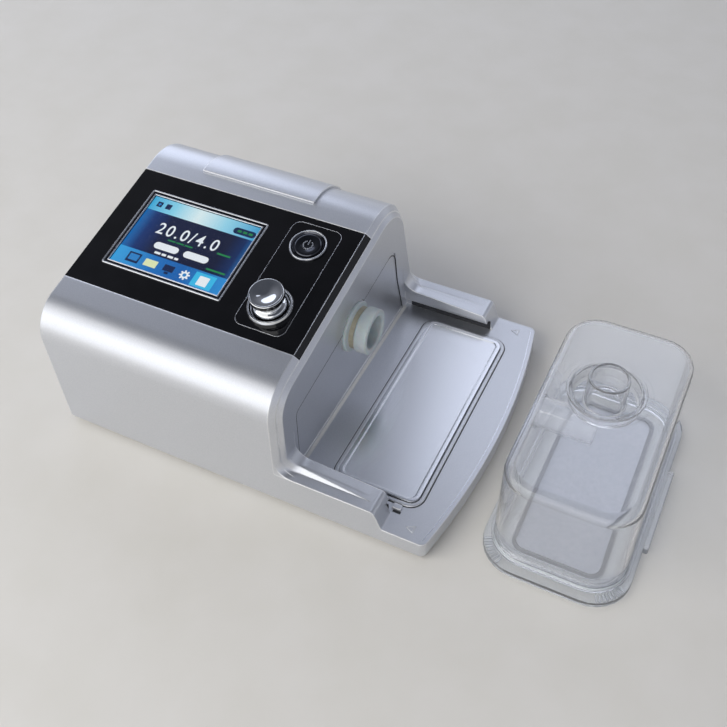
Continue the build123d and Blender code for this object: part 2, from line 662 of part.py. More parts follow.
    # opening in the deck for the heater
    with BuildSketch(ground.offset(SPLIT_Z)):
        with Locations(heater_centre):
            RectangleRounded(FRAME_X + 2 * SEAT, FRAME_Y + 2 * SEAT, FRAME_CORNER)
    extrude(amount=DECK_HEIGHT, mode=Mode.SUBTRACT)
    # recess for the port panel, the window behind it, and the seat of the nozzle's flange
    with BuildSketch(bay_wall.offset(-PORT_SEAT_DEPTH)):
        with BuildLine():
            port_outline()
        make_face()
    extrude(amount=PORT_SEAT_DEPTH + JOIN, mode=Mode.SUBTRACT)
    with BuildSketch(bay_wall.offset(-PORT_SEAT_DEPTH)):
        with BuildLine():
            port_outline()
        make_face()
        offset(amount=-PORT_LEDGE)
    extrude(amount=-RIM_PROUD - WALL, mode=Mode.SUBTRACT)
    with BuildSketch(port_section):
        with Locations((0, -PORT_SPIGOT_INNER)):
            Rectangle(SPIGOT_RADIUS + FIT, PORT_SPIGOT_INNER, align=Align.MIN)
        with Locations((0, -PORT_SEAT_DEPTH)):
            Rectangle(SEAL_FLANGE_RADIUS + 2 * FIT, PORT_SEAT_DEPTH + JOIN, align=Align.MIN)
    revolve(axis=port_axis, mode=Mode.SUBTRACT)
    # recess for the filter cover
    with BuildSketch(side.offset(COVER_X - SEAT)):
        with BuildLine():
            cover_outline(COVER_SEAT_DEPTH, COVER_PROUD, SEAT)
        make_face()
    extrude(amount=COVER_LENGTH + 2 * SEAT, mode=Mode.SUBTRACT)
    # filter frame behind the rear face, with bars that hold the foam
    with BuildSketch(rear.offset(-COVER_SEAT_DEPTH)):
        with Locations(filter_centre):
            Rectangle(FILTER_LENGTH + 2 * FIT + 2 * WALL, FILTER_HEIGHT + 2 * FIT + 2 * WALL)
    extrude(amount=-(FILTER_POCKET + WALL))
    with BuildSketch(rear):
        with Locations(filter_centre):
            Rectangle(FILTER_LENGTH + 2 * FIT, FILTER_HEIGHT + 2 * FIT)
    extrude(amount=-(COVER_SEAT_DEPTH + FILTER_POCKET), mode=Mode.SUBTRACT)
    with BuildSketch(rear):
        with Locations(filter_centre):
            with GridLocations(FILTER_LENGTH / FILTER_GAP_COUNT, 0, FILTER_GAP_COUNT, 1):
                Rectangle(FILTER_LENGTH / FILTER_GAP_COUNT - WALL, FILTER_HEIGHT - WALL)
    extrude(amount=-(COVER_SEAT_DEPTH + FILTER_POCKET + 2 * WALL), mode=Mode.SUBTRACT)
    # hole for the power inlet
    with BuildSketch(front.offset(-(DEPTH - 2 * WALL))):
        with Locations((JACK_X, JACK_Z)):
            Rectangle(JACK_BODY + 2 * SEAT, JACK_BODY + 2 * SEAT)
    extrude(amount=-3 * WALL, mode=Mode.SUBTRACT)
    # screw bosses in the corners
    with BuildSketch(ground.offset(BOSS_FOOT_Z)):
        with Locations(*screw_places):
            Circle(BOSS_RADIUS)
    extrude(amount=BOSS_HEIGHT)
    with BuildSketch(ground.offset(BOSS_FOOT_Z)):
        with Locations(*screw_places):
            Circle(SCREW_RADIUS)
    extrude(amount=SCREW_SEAT_Z + SCREW_LENGTH + SCREW_TIP_ROOM - BOSS_FOOT_Z, mode=Mode.SUBTRACT)

# the arms above the deck are mouldings of their own, held by the same screws
with BuildPart() as rail_room:
    with BuildSketch(front.offset(JOIN)):
        Polygon(
            (bay_wall_x(DECK_HEIGHT), DECK_HEIGHT),
            (BEYOND, DECK_HEIGHT),
            (BEYOND, ABOVE),
            (bay_wall_x(ABOVE), ABOVE),
            align=None,
        )
    extrude(amount=-(DEPTH + 2 * JOIN))

with BuildPart() as top_housing:
    add(upper_moulding.part)
    add(rail_room.part, mode=Mode.SUBTRACT)

with BuildPart() as bay_rails:
    add(upper_moulding.part)
    add(rail_room.part, mode=Mode.INTERSECT)

# ---------------------------------------------------------------- base pan, feet and screws
with BuildPart() as bottom_housing:
    with BuildSketch(ground.offset(FOOT_HEIGHT)):
        with BuildLine():
            plan_outline(PAN_INSET, PAN_INSET)
        make_face()
        fillet(vertices().group_by(Axis.X)[-1], LIP_CORNER_RADIUS - PAN_INSET)
    extrude(amount=PAN_FLOOR)
    # cups that take the screw heads and meet the bosses
    with BuildSketch(ground.offset(FOOT_HEIGHT)):
        with Locations(*screw_places):
            Circle(CUP_RADIUS)
    extrude(amount=BOSS_FOOT_Z - FOOT_HEIGHT)
    for radius, top_z in ((SCREW_HEAD_RADIUS, SCREW_SEAT_Z), (SCREW_RADIUS, BOSS_FOOT_Z)):
        with BuildSketch(ground.offset(FOOT_HEIGHT)):
            with Locations(*screw_places):
                Circle(radius + SEAT)
        extrude(amount=top_z - FOOT_HEIGHT, mode=Mode.SUBTRACT)
    # seats of the feet
    with BuildSketch(ground.offset(FOOT_HEIGHT)):
        with Locations(*foot_places):
            Circle(FOOT_RADIUS + SEAT)
    extrude(amount=FOOT_SEAT, mode=Mode.SUBTRACT)
    # pegs inside the heater springs, and the locating ring of the blower's cradle
    with BuildSketch(ground.offset(SPLIT_Z)):
        with Locations(*spring_places):
            Circle(SPRING_PEG_RADIUS)
    extrude(amount=SPRING_PEG_HEIGHT)
    with BuildSketch(ground.offset(SPLIT_Z)):
        with Locations((BLOWER_X, BLOWER_Y)):
            Circle(MOTOR_RADIUS - CRADLE_WALL / 2 - FIT)
            Circle(MOTOR_RADIUS - CRADLE_WALL / 2 - FIT - WALL, mode=Mode.SUBTRACT)
    extrude(amount=2 * WALL)

with BuildPart() as rubber_feet:
    with BuildSketch(ground):
        with Locations(*foot_places):
            Circle(FOOT_RADIUS)
    extrude(amount=FOOT_HEIGHT + FOOT_SEAT)
    chamfer(edges().filter_by(GeomType.CIRCLE).group_by(Axis.Z)[0], FOOT_HEIGHT / 3)

with BuildPart() as housing_screws:
    for radius, length in ((SCREW_HEAD_RADIUS, -SCREW_HEAD_HEIGHT), (SCREW_RADIUS - RUNNING, SCREW_LENGTH)):
        with BuildSketch(ground.offset(SCREW_SEAT_Z)):
            with Locations(*screw_places):
                Circle(radius)
        extrude(amount=length)

# ---------------------------------------------------------------- port on the bay wall
with BuildPart() as port_panel:
    with BuildSketch(bay_wall.offset(-PORT_SEAT_DEPTH)):
        with BuildLine():
            port_outline()
        make_face()
        offset(amount=-SEAT)
    extrude(amount=PORT_PANEL_THICKNESS)
    # spigot, and the flat seat of the nozzle's flange
    with BuildSketch(port_section):
        with Locations((0, -PORT_SPIGOT_INNER)):
            Rectangle(SPIGOT_RADIUS, PORT_SPIGOT_INNER + PORT_SPIGOT_OUTER, align=Align.MIN)
        with Locations((0, -PORT_PANEL_THICKNESS)):
            Rectangle(SEAL_FLANGE_RADIUS + FIT, PORT_PANEL_THICKNESS, align=Align.MIN)
    revolve(axis=port_axis)
    with BuildSketch(port_section):
        with Locations((0, -PORT_SPIGOT_INNER)):
            Rectangle(PORT_BORE_RADIUS, PORT_SPIGOT_INNER + PORT_SPIGOT_OUTER, align=Align.MIN)
    revolve(axis=port_axis, mode=Mode.SUBTRACT)

with BuildPart() as outlet_seal:
    seal_bore = SPIGOT_RADIUS + RUNNING
    with BuildSketch(port_section):
        with BuildLine():
            Line((seal_bore, 0), (SEAL_FLANGE_RADIUS, 0))
            FilletPolyline(
                (SEAL_FLANGE_RADIUS, 0),
                (SEAL_FLANGE_RADIUS, SEAL_FLANGE_THICKNESS),
                (SEAL_NECK_RADIUS, SEAL_FLANGE_THICKNESS + SEAL_ROUND),
                (SEAL_NECK_RADIUS, SEAL_NECK_LENGTH),
                (SEAL_RIM_RADIUS, SEAL_NECK_LENGTH + SEAL_ROUND),
                (SEAL_RIM_RADIUS, SEAL_LENGTH),
                (PORT_BORE_RADIUS + SEAL_LIP, SEAL_LENGTH),
                (PORT_BORE_RADIUS + SEAL_LIP, PORT_SPIGOT_OUTER + SEAT),
                radius=[
                    SEAL_ROUND,
                    SEAL_ROUND / 2,
                    SEAL_ROUND / 2,
                    SEAL_ROUND,
                    2 * SEAL_ROUND,
                    SEAL_ROUND / 2,
                ],
            )
            Polyline(
                (PORT_BORE_RADIUS + SEAL_LIP, PORT_SPIGOT_OUTER + SEAT),
                (seal_bore, PORT_SPIGOT_OUTER + SEAT),
                (seal_bore, 0),
            )
        make_face()
    revolve(axis=port_axis)

# ---------------------------------------------------------------- control panel and screen
with BuildPart() as control_panel:
    add(envelope.part)
    with BuildSketch(panel.offset(-PANEL_THICKNESS)):
        with Locations((0, PANEL_LENGTH / 2)):
            Rectangle(2 * BEYOND, PANEL_LENGTH - 2 * SEAT)
    extrude(amount=COLLAR_CHAMFER + PANEL_THICKNESS, mode=Mode.INTERSECT)
    # posts that carry the main board
    with BuildSketch(panel.offset(-PANEL_THICKNESS)):
        with Locations(*post_places):
            Circle(POST_RADIUS)
    extrude(amount=-(BOARD_DEPTH - PANEL_THICKNESS))
    # window of the screen, and the holes of the button and the knob
    with BuildSketch(panel.offset(-PANEL_THICKNESS)):
        with Locations(screen_centre):
            Rectangle(SKIRT_X + 2 * SEAT, SKIRT_Y + 2 * SEAT)
        with Locations(button_centre):
            Circle(BUTTON_SLEEVE_RADIUS + SEAT)
        with Locations(knob_centre):
            Circle(ENCODER_NECK_RADIUS + FIT)
    extrude(amount=PANEL_THICKNESS + JOIN, mode=Mode.SUBTRACT)

with BuildPart() as screen_bezel:
    with BuildSketch(panel):
        with Locations(screen_centre):
            RectangleRounded(BEZEL_LENGTH, BEZEL_HEIGHT, BEZEL_CORNER)
    extrude(amount=BEZEL_PROUD)
    chamfer(edges().group_by(Axis(panel.origin, panel.z_dir))[-1], BEZEL_PROUD / 2)
    # skirt through the panel, with the seat of the lens under the rim
    with BuildSketch(panel.offset(-PANEL_THICKNESS)):
        with Locations(screen_centre):
            Rectangle(SKIRT_X, SKIRT_Y)
    extrude(amount=PANEL_THICKNESS)
    with BuildSketch(panel.offset(-PANEL_THICKNESS)):
        with Locations(screen_centre):
            Rectangle(GLASS_X, GLASS_Y)
    extrude(amount=PANEL_THICKNESS - LENS_DEPTH, mode=Mode.SUBTRACT)
    with BuildSketch(panel.offset(-LENS_DEPTH)):
        with Locations(screen_centre):
            Rectangle(WINDOW_X, WINDOW_Y)
    extrude(amount=LENS_DEPTH + BEZEL_PROUD, mode=Mode.SUBTRACT)

with BuildPart() as display_lens:
    with BuildSketch(panel.offset(-LENS_DEPTH - LENS_THICKNESS)):
        with Locations(screen_centre):
            Rectangle(GLASS_X - 2 * SEAT, GLASS_Y - 2 * SEAT)
    extrude(amount=LENS_THICKNESS)

with BuildPart() as display_module:
    with BuildSketch(panel.offset(-PANEL_THICKNESS - DISPLAY_THICKNESS)):
        with Locations(screen_centre):
            Rectangle(SKIRT_X + 2 * DISPLAY_LAP, SKIRT_Y + 2 * DISPLAY_LAP)
    extrude(amount=DISPLAY_THICKNESS)
    with BuildSketch(panel.offset(-PANEL_THICKNESS)):
        with Locations(screen_centre):
            Rectangle(GLASS_X - 2 * SEAT, GLASS_Y - 2 * SEAT)
    extrude(amount=PANEL_THICKNESS - LENS_DEPTH - LENS_THICKNESS - SEAT)

with BuildPart() as main_board:
    with BuildSketch(panel.offset(-BOARD_DEPTH - BOARD_THICKNESS)):
        with Locations(board_centre):
            Rectangle(BOARD_X, BOARD_Y)
    extrude(amount=BOARD_THICKNESS)
    # connectors on the board's lower face
    with BuildSketch(panel.offset(-BOARD_DEPTH - BOARD_THICKNESS)):
        with Locations((SCREEN_X, KNOB_V)):
            with GridLocations(2 * CONNECTOR_LENGTH, 0, CONNECTOR_COUNT, 1):
                Rectangle(CONNECTOR_LENGTH, CONNECTOR_WIDTH)
    extrude(amount=-CONNECTOR_HEIGHT)

# ---------------------------------------------------------------- power button and its switch
with BuildPart() as power_switch:
    with BuildSketch(panel.offset(-BOARD_DEPTH)):
        with Locations(button_centre):
            Rectangle(SWITCH_SIZE, SWITCH_SIZE)
    extrude(amount=SWITCH_HEIGHT - SWITCH_CAP_HEIGHT)
    with BuildSketch(panel.offset(-BOARD_DEPTH)):
        with Locations(button_centre):
            Circle(SWITCH_CAP_RADIUS)
    extrude(amount=SWITCH_HEIGHT)

with BuildPart() as power_button_ring:
    with BuildSketch(button_section):
        Polygon(
            (BUTTON_HOLE_RADIUS, -PANEL_THICKNESS),
            (BUTTON_SLEEVE_RADIUS, -PANEL_THICKNESS),
            (BUTTON_SLEEVE_RADIUS, 0),
            (BUTTON_RING_RADIUS, 0),
            (BUTTON_RING_RADIUS, BUTTON_RING_PROUD),
            (BUTTON_HOLE_RADIUS, BUTTON_RING_PROUD),
            align=None,
        )
    revolve(axis=button_axis)
    fillet(edges().group_by(button_axis)[-1], BUTTON_RING_PROUD / 2)

with BuildPart() as power_button:
    with BuildSketch(button_section):
        flange_top = -PANEL_THICKNESS - SEAT
        with BuildLine():
            crown = (BUTTON_RADIUS - BUTTON_DISH, BUTTON_PROUD)
            Polyline(
                (0, BUTTON_PROUD - BUTTON_DISH),
                (0, BUTTON_STEM_END),
                (STEM_RADIUS, BUTTON_STEM_END),
                (STEM_RADIUS, flange_top - BUTTON_FLANGE),
                (BUTTON_SLEEVE_RADIUS, flange_top - BUTTON_FLANGE),
                (BUTTON_SLEEVE_RADIUS, flange_top),
                (BUTTON_RADIUS, flange_top),
                (BUTTON_RADIUS, BUTTON_PROUD - BUTTON_DISH),
                crown,
            )
            Spline(crown, (0, BUTTON_PROUD - BUTTON_DISH), tangents=[(-2, -1), (-1, 0)])
        make_face()
    revolve(axis=button_axis)

# ---------------------------------------------------------------- rotary knob and its encoder
with BuildPart() as knob_ring:
    with BuildSketch(knob_section):
        Polygon(
            (KNOB_RING_BORE, 0),
            (KNOB_RING_RADIUS, 0),
            (KNOB_RING_RADIUS, KNOB_RING_PROUD / 2),
            (KNOB_RING_BORE + KNOB_RING_PROUD / 2, KNOB_RING_PROUD),
            (KNOB_RING_BORE, KNOB_RING_PROUD),
            align=None,
        )
    revolve(axis=knob_axis)
    fillet(edges().group_by(knob_axis)[1:], KNOB_RING_PROUD / 6)

with BuildPart() as knob:
    with BuildSketch(knob_section):
        with BuildLine():
            rim = (KNOB_RADIUS - BUTTON_DISH, KNOB_HEIGHT)
            lip_z = KNOB_HEIGHT - KNOB_LIP
            Polyline(
                (0, KNOB_HEIGHT - BUTTON_DISH),
                (0, SHAFT_TOP + SEAT),
                (SHAFT_RADIUS + RUNNING, SHAFT_TOP + SEAT),
                (SHAFT_RADIUS + RUNNING, KNOB_FOOT),
                (KNOB_SKIRT_RADIUS, KNOB_FOOT),
            )
            FilletPolyline(
                (KNOB_SKIRT_RADIUS, KNOB_FOOT),
                (KNOB_NECK_RADIUS, KNOB_FOOT + KNOB_SKIRT_HEIGHT),
                (KNOB_NECK_RADIUS, lip_z - KNOB_SKIRT_HEIGHT / 2),
                (KNOB_RADIUS, lip_z),
                (KNOB_RADIUS, KNOB_HEIGHT),
                rim,
                radius=[KNOB_SKIRT_HEIGHT / 2, KNOB_SKIRT_HEIGHT / 2, BUTTON_DISH, BUTTON_DISH / 2],
            )
            Spline(rim, (0, KNOB_HEIGHT - BUTTON_DISH), tangents=[(-2, -1), (-1, 0)])
        make_face()
    revolve(axis=knob_axis)

with BuildPart() as encoder_shaft:
    with BuildSketch(knob_section):
        with Locations((0, -SHAFT_DEPTH)):
            Rectangle(SHAFT_RADIUS, SHAFT_DEPTH + SHAFT_TOP, align=Align.MIN)
    revolve(axis=knob_axis)

with BuildPart() as encoder_rotor:
    with BuildSketch(knob_section):
        with Locations((SHAFT_RADIUS + RUNNING, -ROTOR_FLANGE_DEPTH)):
            Rectangle(
                ROTOR_RADIUS - SHAFT_RADIUS - RUNNING, ROTOR_FLANGE_DEPTH - ROTOR_TOP_DEPTH, align=Align.MIN
            )
            Rectangle(
                ROTOR_FLANGE_RADIUS - SHAFT_RADIUS - RUNNING,
                ROTOR_FLANGE_THICKNESS,
                align=(Align.MIN, Align.MAX),
            )
    revolve(axis=knob_axis)

with BuildPart() as encoder_body:
    with BuildSketch(panel.offset(-BOARD_DEPTH)):
        with Locations(knob_centre):
            Rectangle(ENCODER_SIZE, ENCODER_SIZE)
    extrude(amount=ENCODER_HEIGHT)
    with BuildSketch(panel.offset(-BOARD_DEPTH)):
        with Locations(knob_centre):
            Circle(ENCODER_NECK_RADIUS)
    extrude(amount=BOARD_DEPTH - ENCODER_NECK_DEPTH)
    # stepped hollow for the bush and the shaft
    with BuildSketch(knob_section):
        for radius, top, foot in (
            (ROTOR_RADIUS + RUNNING, 0, ROTOR_FLANGE_DEPTH),
            (
                ROTOR_FLANGE_RADIUS + RUNNING,
                ROTOR_FLANGE_DEPTH - RUNNING,
                ROTOR_FLANGE_DEPTH + ROTOR_FLANGE_THICKNESS + RUNNING,
            ),
            (SHAFT_RADIUS + FIT, ROTOR_FLANGE_DEPTH, BOARD_DEPTH - FIT),
        ):
            with Locations((0, -foot)):
                Rectangle(radius, foot - top, align=Align.MIN)
    revolve(axis=knob_axis, mode=Mode.SUBTRACT)

# ---------------------------------------------------------------- heater
with BuildPart() as heater_frame:
    with BuildSketch(ground.offset(FRAME_FOOT_Z)):
        with Locations(heater_centre):
            RectangleRounded(FRAME_X, FRAME_Y, FRAME_CORNER)
    extrude(amount=DECK_HEIGHT + FRAME_PROUD - FRAME_FOOT_Z)
    fillet(edges().group_by(Axis.Z)[-1], FRAME_PROUD / 2)
    # flange that catches the deck from below
    with BuildSketch(ground.offset(FRAME_FOOT_Z)):
        with Locations(heater_centre):
            RectangleRounded(
                FRAME_X + 2 * FRAME_FLANGE, FRAME_Y + 2 * FRAME_FLANGE, FRAME_CORNER + FRAME_FLANGE
            )
    extrude(amount=FRAME_FLANGE)
    # opening for the plate, with the ledge below it that stops the plate
    for size_x, size_y, corner, foot_z in (
        (PAD_X, PAD_Y, HEATER_CORNER, FRAME_FOOT_Z),
        (HEATER_LENGTH_X, HEATER_LENGTH_Y, HEATER_CORNER, PAD_TOP_Z - HEATER_TRAVEL - RUNNING),
    ):
        with BuildSketch(ground.offset(foot_z)):
            with Locations(heater_centre):
                RectangleRounded(size_x + 2 * FIT, size_y + 2 * FIT, corner)
        extrude(amount=HEATER_HEIGHT - foot_z, mode=Mode.SUBTRACT)

with BuildPart() as heater_plate:
    with BuildSketch(ground.offset(PAD_TOP_Z)):
        with Locations(heater_centre):
            RectangleRounded(HEATER_LENGTH_X, HEATER_LENGTH_Y, HEATER_CORNER - FIT)
    extrude(amount=HEATER_THICKNESS)
    fillet(edges().group_by(Axis.Z)[-1], HEATER_THICKNESS / 3)

with BuildPart() as heater_element:
    with BuildSketch(ground.offset(PAD_FOOT_Z)):
        with Locations(heater_centre):
            RectangleRounded(PAD_X, PAD_Y, HEATER_CORNER - FIT)
    extrude(amount=HEATER_PAD)
    with BuildSketch(ground.offset(PAD_FOOT_Z)):
        with Locations(*spring_places):
            Circle(SPRING_PEG_RADIUS)
    extrude(amount=-SPRING_PEG_HEIGHT)

with BuildPart() as coil_spring:
    with BuildLine():
        coil = Helix(pitch=SPRING_RUN / SPRING_TURNS, height=SPRING_RUN, radius=SPRING_RADIUS)
    with BuildSketch(Plane(origin=coil @ 0, z_dir=coil % 0)):
        Circle(SPRING_WIRE / 2)
    sweep(is_frenet=True)

with BuildPart() as heater_springs:
    for x, y in spring_places:
        with Locations(ground.from_local_coords((x, y, SPLIT_Z + SPRING_WIRE / 2 + RUNNING))):
            add(coil_spring.part)

# ---------------------------------------------------------------- blower
with BuildPart() as blower_base:
    with BuildSketch(ground.offset(VOLUTE_FLOOR_Z - VOLUTE_WALL)):
        with BuildLine():
            volute_outline(VOLUTE_WALL)
        make_face()
    extrude(amount=VOLUTE_WALL + VOLUTE_HEIGHT)
    with BuildSketch(ground.offset(VOLUTE_FLOOR_Z)):
        with BuildLine():
            volute_outline(0)
        make_face()
    extrude(amount=VOLUTE_HEIGHT, mode=Mode.SUBTRACT)
    # round spigot of the outlet
    with BuildSketch(blower_mouth.offset(-VOLUTE_WALL / 2)):
        Circle(SPIGOT_RADIUS)
    extrude(amount=VOLUTE_WALL / 2 + SPIGOT_LENGTH)
    with BuildSketch(blower_mouth.offset(-VOLUTE_WALL)):
        Circle(PORT_BORE_RADIUS)
    extrude(amount=VOLUTE_WALL + SPIGOT_LENGTH, mode=Mode.SUBTRACT)
    # hole for the motor's shaft
    with BuildSketch(ground.offset(VOLUTE_FLOOR_Z - VOLUTE_WALL)):
        with Locations((BLOWER_X, BLOWER_Y)):
            Circle(2 * MOTOR_SHAFT_RADIUS)
    extrude(amount=VOLUTE_WALL, mode=Mode.SUBTRACT)

with BuildPart() as blower_lid:
    with BuildSketch(ground.offset(VOLUTE_FLOOR_Z + VOLUTE_HEIGHT)):
        with BuildLine():
            volute_outline(VOLUTE_WALL)
        make_face()
    extrude(amount=VOLUTE_WALL)
    # turned-up lip round the intake eye
    with BuildSketch(ground.offset(VOLUTE_FLOOR_Z + VOLUTE_HEIGHT)):
        with Locations((BLOWER_X, BLOWER_Y)):
            Circle(EYE_RADIUS + VOLUTE_WALL)
    extrude(amount=VOLUTE_WALL + EYE_LIP)
    with BuildSketch(ground.offset(VOLUTE_FLOOR_Z + VOLUTE_HEIGHT)):
        with Locations((BLOWER_X, BLOWER_Y)):
            Circle(EYE_RADIUS)
    extrude(amount=VOLUTE_WALL + EYE_LIP, mode=Mode.SUBTRACT)

with BuildPart() as impeller:
    impeller_floor = ground.offset(VOLUTE_FLOOR_Z + IMPELLER_GAP)
    with BuildSketch(impeller_floor):
        with Locations((BLOWER_X, BLOWER_Y)):
            Circle(IMPELLER_RADIUS)
    extrude(amount=BLADE_THICKNESS)
    with BuildSketch(mode=Mode.PRIVATE) as blade_plan:
        with BuildLine():
            tip = IMPELLER_RADIUS - BLADE_THICKNESS
            blade_foot = (IMPELLER_HUB - BLADE_THICKNESS, 0)
            blade_tip = (tip * cos(radians(BLADE_SWEEP)), tip * sin(radians(BLADE_SWEEP)))
            TangentArc(blade_foot, blade_tip, tangent=(1, 0))
        trace(line_width=BLADE_THICKNESS)
    with BuildSketch(impeller_floor):
        with Locations((BLOWER_X, BLOWER_Y)):
            Circle(IMPELLER_HUB)
            with PolarLocations(0, IMPELLER_BLADE_COUNT):
                add(blade_plan.sketch)
    extrude(amount=IMPELLER_HEIGHT)
    with BuildSketch(impeller_floor):
        with Locations((BLOWER_X, BLOWER_Y)):
            Circle(MOTOR_SHAFT_RADIUS + RUNNING)
    extrude(amount=IMPELLER_HEIGHT, mode=Mode.SUBTRACT)

# Heights in the motor's half profiles are above the volute's floor
MOTOR_TOP = -VOLUTE_WALL
MOTOR_FOOT = MOTOR_TOP - MOTOR_HEIGHT
with BuildPart() as motor_stator:
    with BuildSketch(blower_section):
        with Locations((0, MOTOR_FOOT)):
            Rectangle(MOTOR_RADIUS, MOTOR_HEIGHT, align=Align.MIN)
        with Locations((0, MOTOR_FOOT + MOTOR_END)):
            Rectangle(
                MAGNET_RADIUS + FIT, MOTOR_HEIGHT - 2 * MOTOR_END, align=Align.MIN, mode=Mode.SUBTRACT
            )
        with Locations((0, MOTOR_FOOT + MOTOR_END / 2)):
            Rectangle(
                MOTOR_SHAFT_RADIUS + RUNNING, MOTOR_HEIGHT, align=Align.MIN, mode=Mode.SUBTRACT
            )
    revolve(axis=blower_axis)

with BuildPart() as motor_rotor:
    with BuildSketch(blower_section):
        with Locations((0, MOTOR_FOOT + MOTOR_END + FIT)):
            Rectangle(MAGNET_RADIUS, MOTOR_HEIGHT - 2 * MOTOR_END - 2 * FIT, align=Align.MIN)
        with Locations((0, MOTOR_FOOT + MOTOR_END / 2 + RUNNING)):
            Rectangle(
                MOTOR_SHAFT_RADIUS,
                IMPELLER_GAP + IMPELLER_HEIGHT - MOTOR_FOOT - MOTOR_END / 2,
                align=Align.MIN,
            )
    revolve(axis=blower_axis)

with BuildPart() as blower_mount:
    cradle_foot = SPLIT_Z - VOLUTE_FLOOR_Z
    cradle_bore = MOTOR_RADIUS - CRADLE_WALL / 2
    with BuildSketch(blower_section):
        with Locations((cradle_bore, cradle_foot)):
            Rectangle(CRADLE_FOOT, MOTOR_FOOT + CRADLE_GRIP - cradle_foot, align=Align.MIN)
        with Locations((0, MOTOR_FOOT)):
            Rectangle(MOTOR_RADIUS + RUNNING, CRADLE_GRIP, align=Align.MIN, mode=Mode.SUBTRACT)
    revolve(axis=blower_axis)

with BuildPart() as air_duct:
    with BuildSketch(port_section):
        Polygon(*bellows_points(), align=None)
    revolve(axis=port_axis)

# ---------------------------------------------------------------- rear: filter and power inlet
with BuildPart() as filter_cover:
    with BuildSketch(side.offset(COVER_X)):
        with BuildLine():
            cover_outline(COVER_SEAT_DEPTH - SEAT, COVER_PROUD, 0)
        make_face()
    extrude(amount=COVER_LENGTH)
    # air slots over the filter
    with BuildSketch(rear.offset(-COVER_SEAT_DEPTH)):
        with Locations(filter_centre):
            with GridLocations(COVER_SLOT_PITCH, 0, COVER_SLOT_COUNT, 1):
                SlotOverall(FILTER_HEIGHT - COVER_SLOT_PITCH, COVER_SLOT_PITCH / 2, rotation=90)
    extrude(amount=COVER_SEAT_DEPTH + COVER_PROUD, mode=Mode.SUBTRACT)

with BuildPart() as air_filter:
    with BuildSketch(rear.offset(-COVER_SEAT_DEPTH - FILTER_POCKET)):
        with Locations(filter_centre):
            Rectangle(FILTER_LENGTH, FILTER_HEIGHT)
    extrude(amount=FILTER_THICKNESS)

with BuildPart() as power_jack:
    with BuildSketch(front.offset(-(DEPTH - JACK_LENGTH))):
        with Locations((JACK_X, JACK_Z)):
            Rectangle(JACK_BODY, JACK_BODY)
    extrude(amount=-JACK_LENGTH)
    # round hollow for the plug, with the pin standing in it
    with BuildSketch(front.offset(-(DEPTH - JACK_DEPTH))):
        with Locations((JACK_X, JACK_Z)):
            Circle(JACK_BORE / 2)
            Circle(JACK_PIN / 2, mode=Mode.SUBTRACT)
    extrude(amount=-JACK_DEPTH, mode=Mode.SUBTRACT)
    with BuildSketch(front.offset(-(DEPTH - JACK_PIN_SUNK))):
        with Locations((JACK_X, JACK_Z)):
            Circle(JACK_PIN / 2)
    extrude(amount=-JACK_PIN_SUNK, mode=Mode.SUBTRACT)

# ---------------------------------------------------------------- tank
with BuildPart() as tank_base:
    with BuildSketch(tank):
        RectangleRounded(TANK_FLANGE_X, TANK_FLANGE_Y, TANK_FLANGE_CORNER)
    extrude(amount=TANK_FLANGE_THICKNESS)
    fillet(edges().group_by(Axis.Z)[-1], TANK_FLANGE_THICKNESS / 5)
    # finger ledge on the side away from the machine
    with BuildSketch(tank.offset(TANK_FLANGE_THICKNESS / 2)):
        with Locations((TANK_FLANGE_X / 2 + GRIP_PROUD - GRIP_WIDTH / 2, GRIP_OFFSET_Y)):
            Rectangle(GRIP_WIDTH, GRIP_LENGTH)
    extrude(amount=GRIP_HEIGHT)
    # upstand that locates the cover, with the basin's floor sunk inside it
    with BuildSketch(tank.offset(TANK_FLANGE_THICKNESS)):
        RectangleRounded(TANK_INSIDE_X - 2 * FIT, TANK_INSIDE_Y - 2 * FIT, TANK_INSIDE_CORNER - FIT)
    extrude(amount=UPSTAND)
    inner_grow = FIT + UPSTAND_WALL
    for size_x, size_y, corner, foot_z in (
        (
            TANK_INSIDE_X - 2 * inner_grow,
            TANK_INSIDE_Y - 2 * inner_grow,
            TANK_INSIDE_CORNER - inner_grow,
            TANK_FLOOR_Z,
        ),
        (TANK_PLATE_X - 2 * TANK_LEDGE, TANK_PLATE_Y - 2 * TANK_LEDGE, TANK_PLATE_CORNER - TANK_LEDGE, 0),
    ):
        with BuildSketch(tank.offset(foot_z)):
            RectangleRounded(size_x, size_y, corner)
        extrude(amount=COVER_FOOT_Z + UPSTAND, mode=Mode.SUBTRACT)
    # seats of the metal plate and the gasket
    with BuildSketch(tank):
        RectangleRounded(TANK_PLATE_X + 2 * SEAT, TANK_PLATE_Y + 2 * SEAT, TANK_PLATE_CORNER)
    extrude(amount=TANK_PLATE_THICKNESS, mode=Mode.SUBTRACT)
    with BuildSketch(tank.offset(TANK_FLANGE_THICKNESS - GASKET_SUNK)):
        gasket_ring(SEAT)
    extrude(amount=GASKET_SUNK, mode=Mode.SUBTRACT)

with BuildPart() as tank_gasket:
    with BuildSketch(tank.offset(TANK_FLANGE_THICKNESS - GASKET_SUNK)):
        gasket_ring(0)
    extrude(amount=GASKET)

with BuildPart() as tank_plate:
    with BuildSketch(tank):
        RectangleRounded(TANK_PLATE_X, TANK_PLATE_Y, TANK_PLATE_CORNER)
    extrude(amount=TANK_PLATE_THICKNESS)

with BuildPart() as tank_hollow:
    with BuildSketch(tank.offset(COVER_FOOT_Z)):
        RectangleRounded(TANK_INSIDE_X, TANK_INSIDE_Y, TANK_INSIDE_CORNER)
    extrude(amount=TANK_HEIGHT - TANK_WALL - COVER_FOOT_Z, taper=TANK_DRAFT)
    fillet(edges().group_by(Axis.Z)[-1], TANK_CROWN - TANK_WALL)

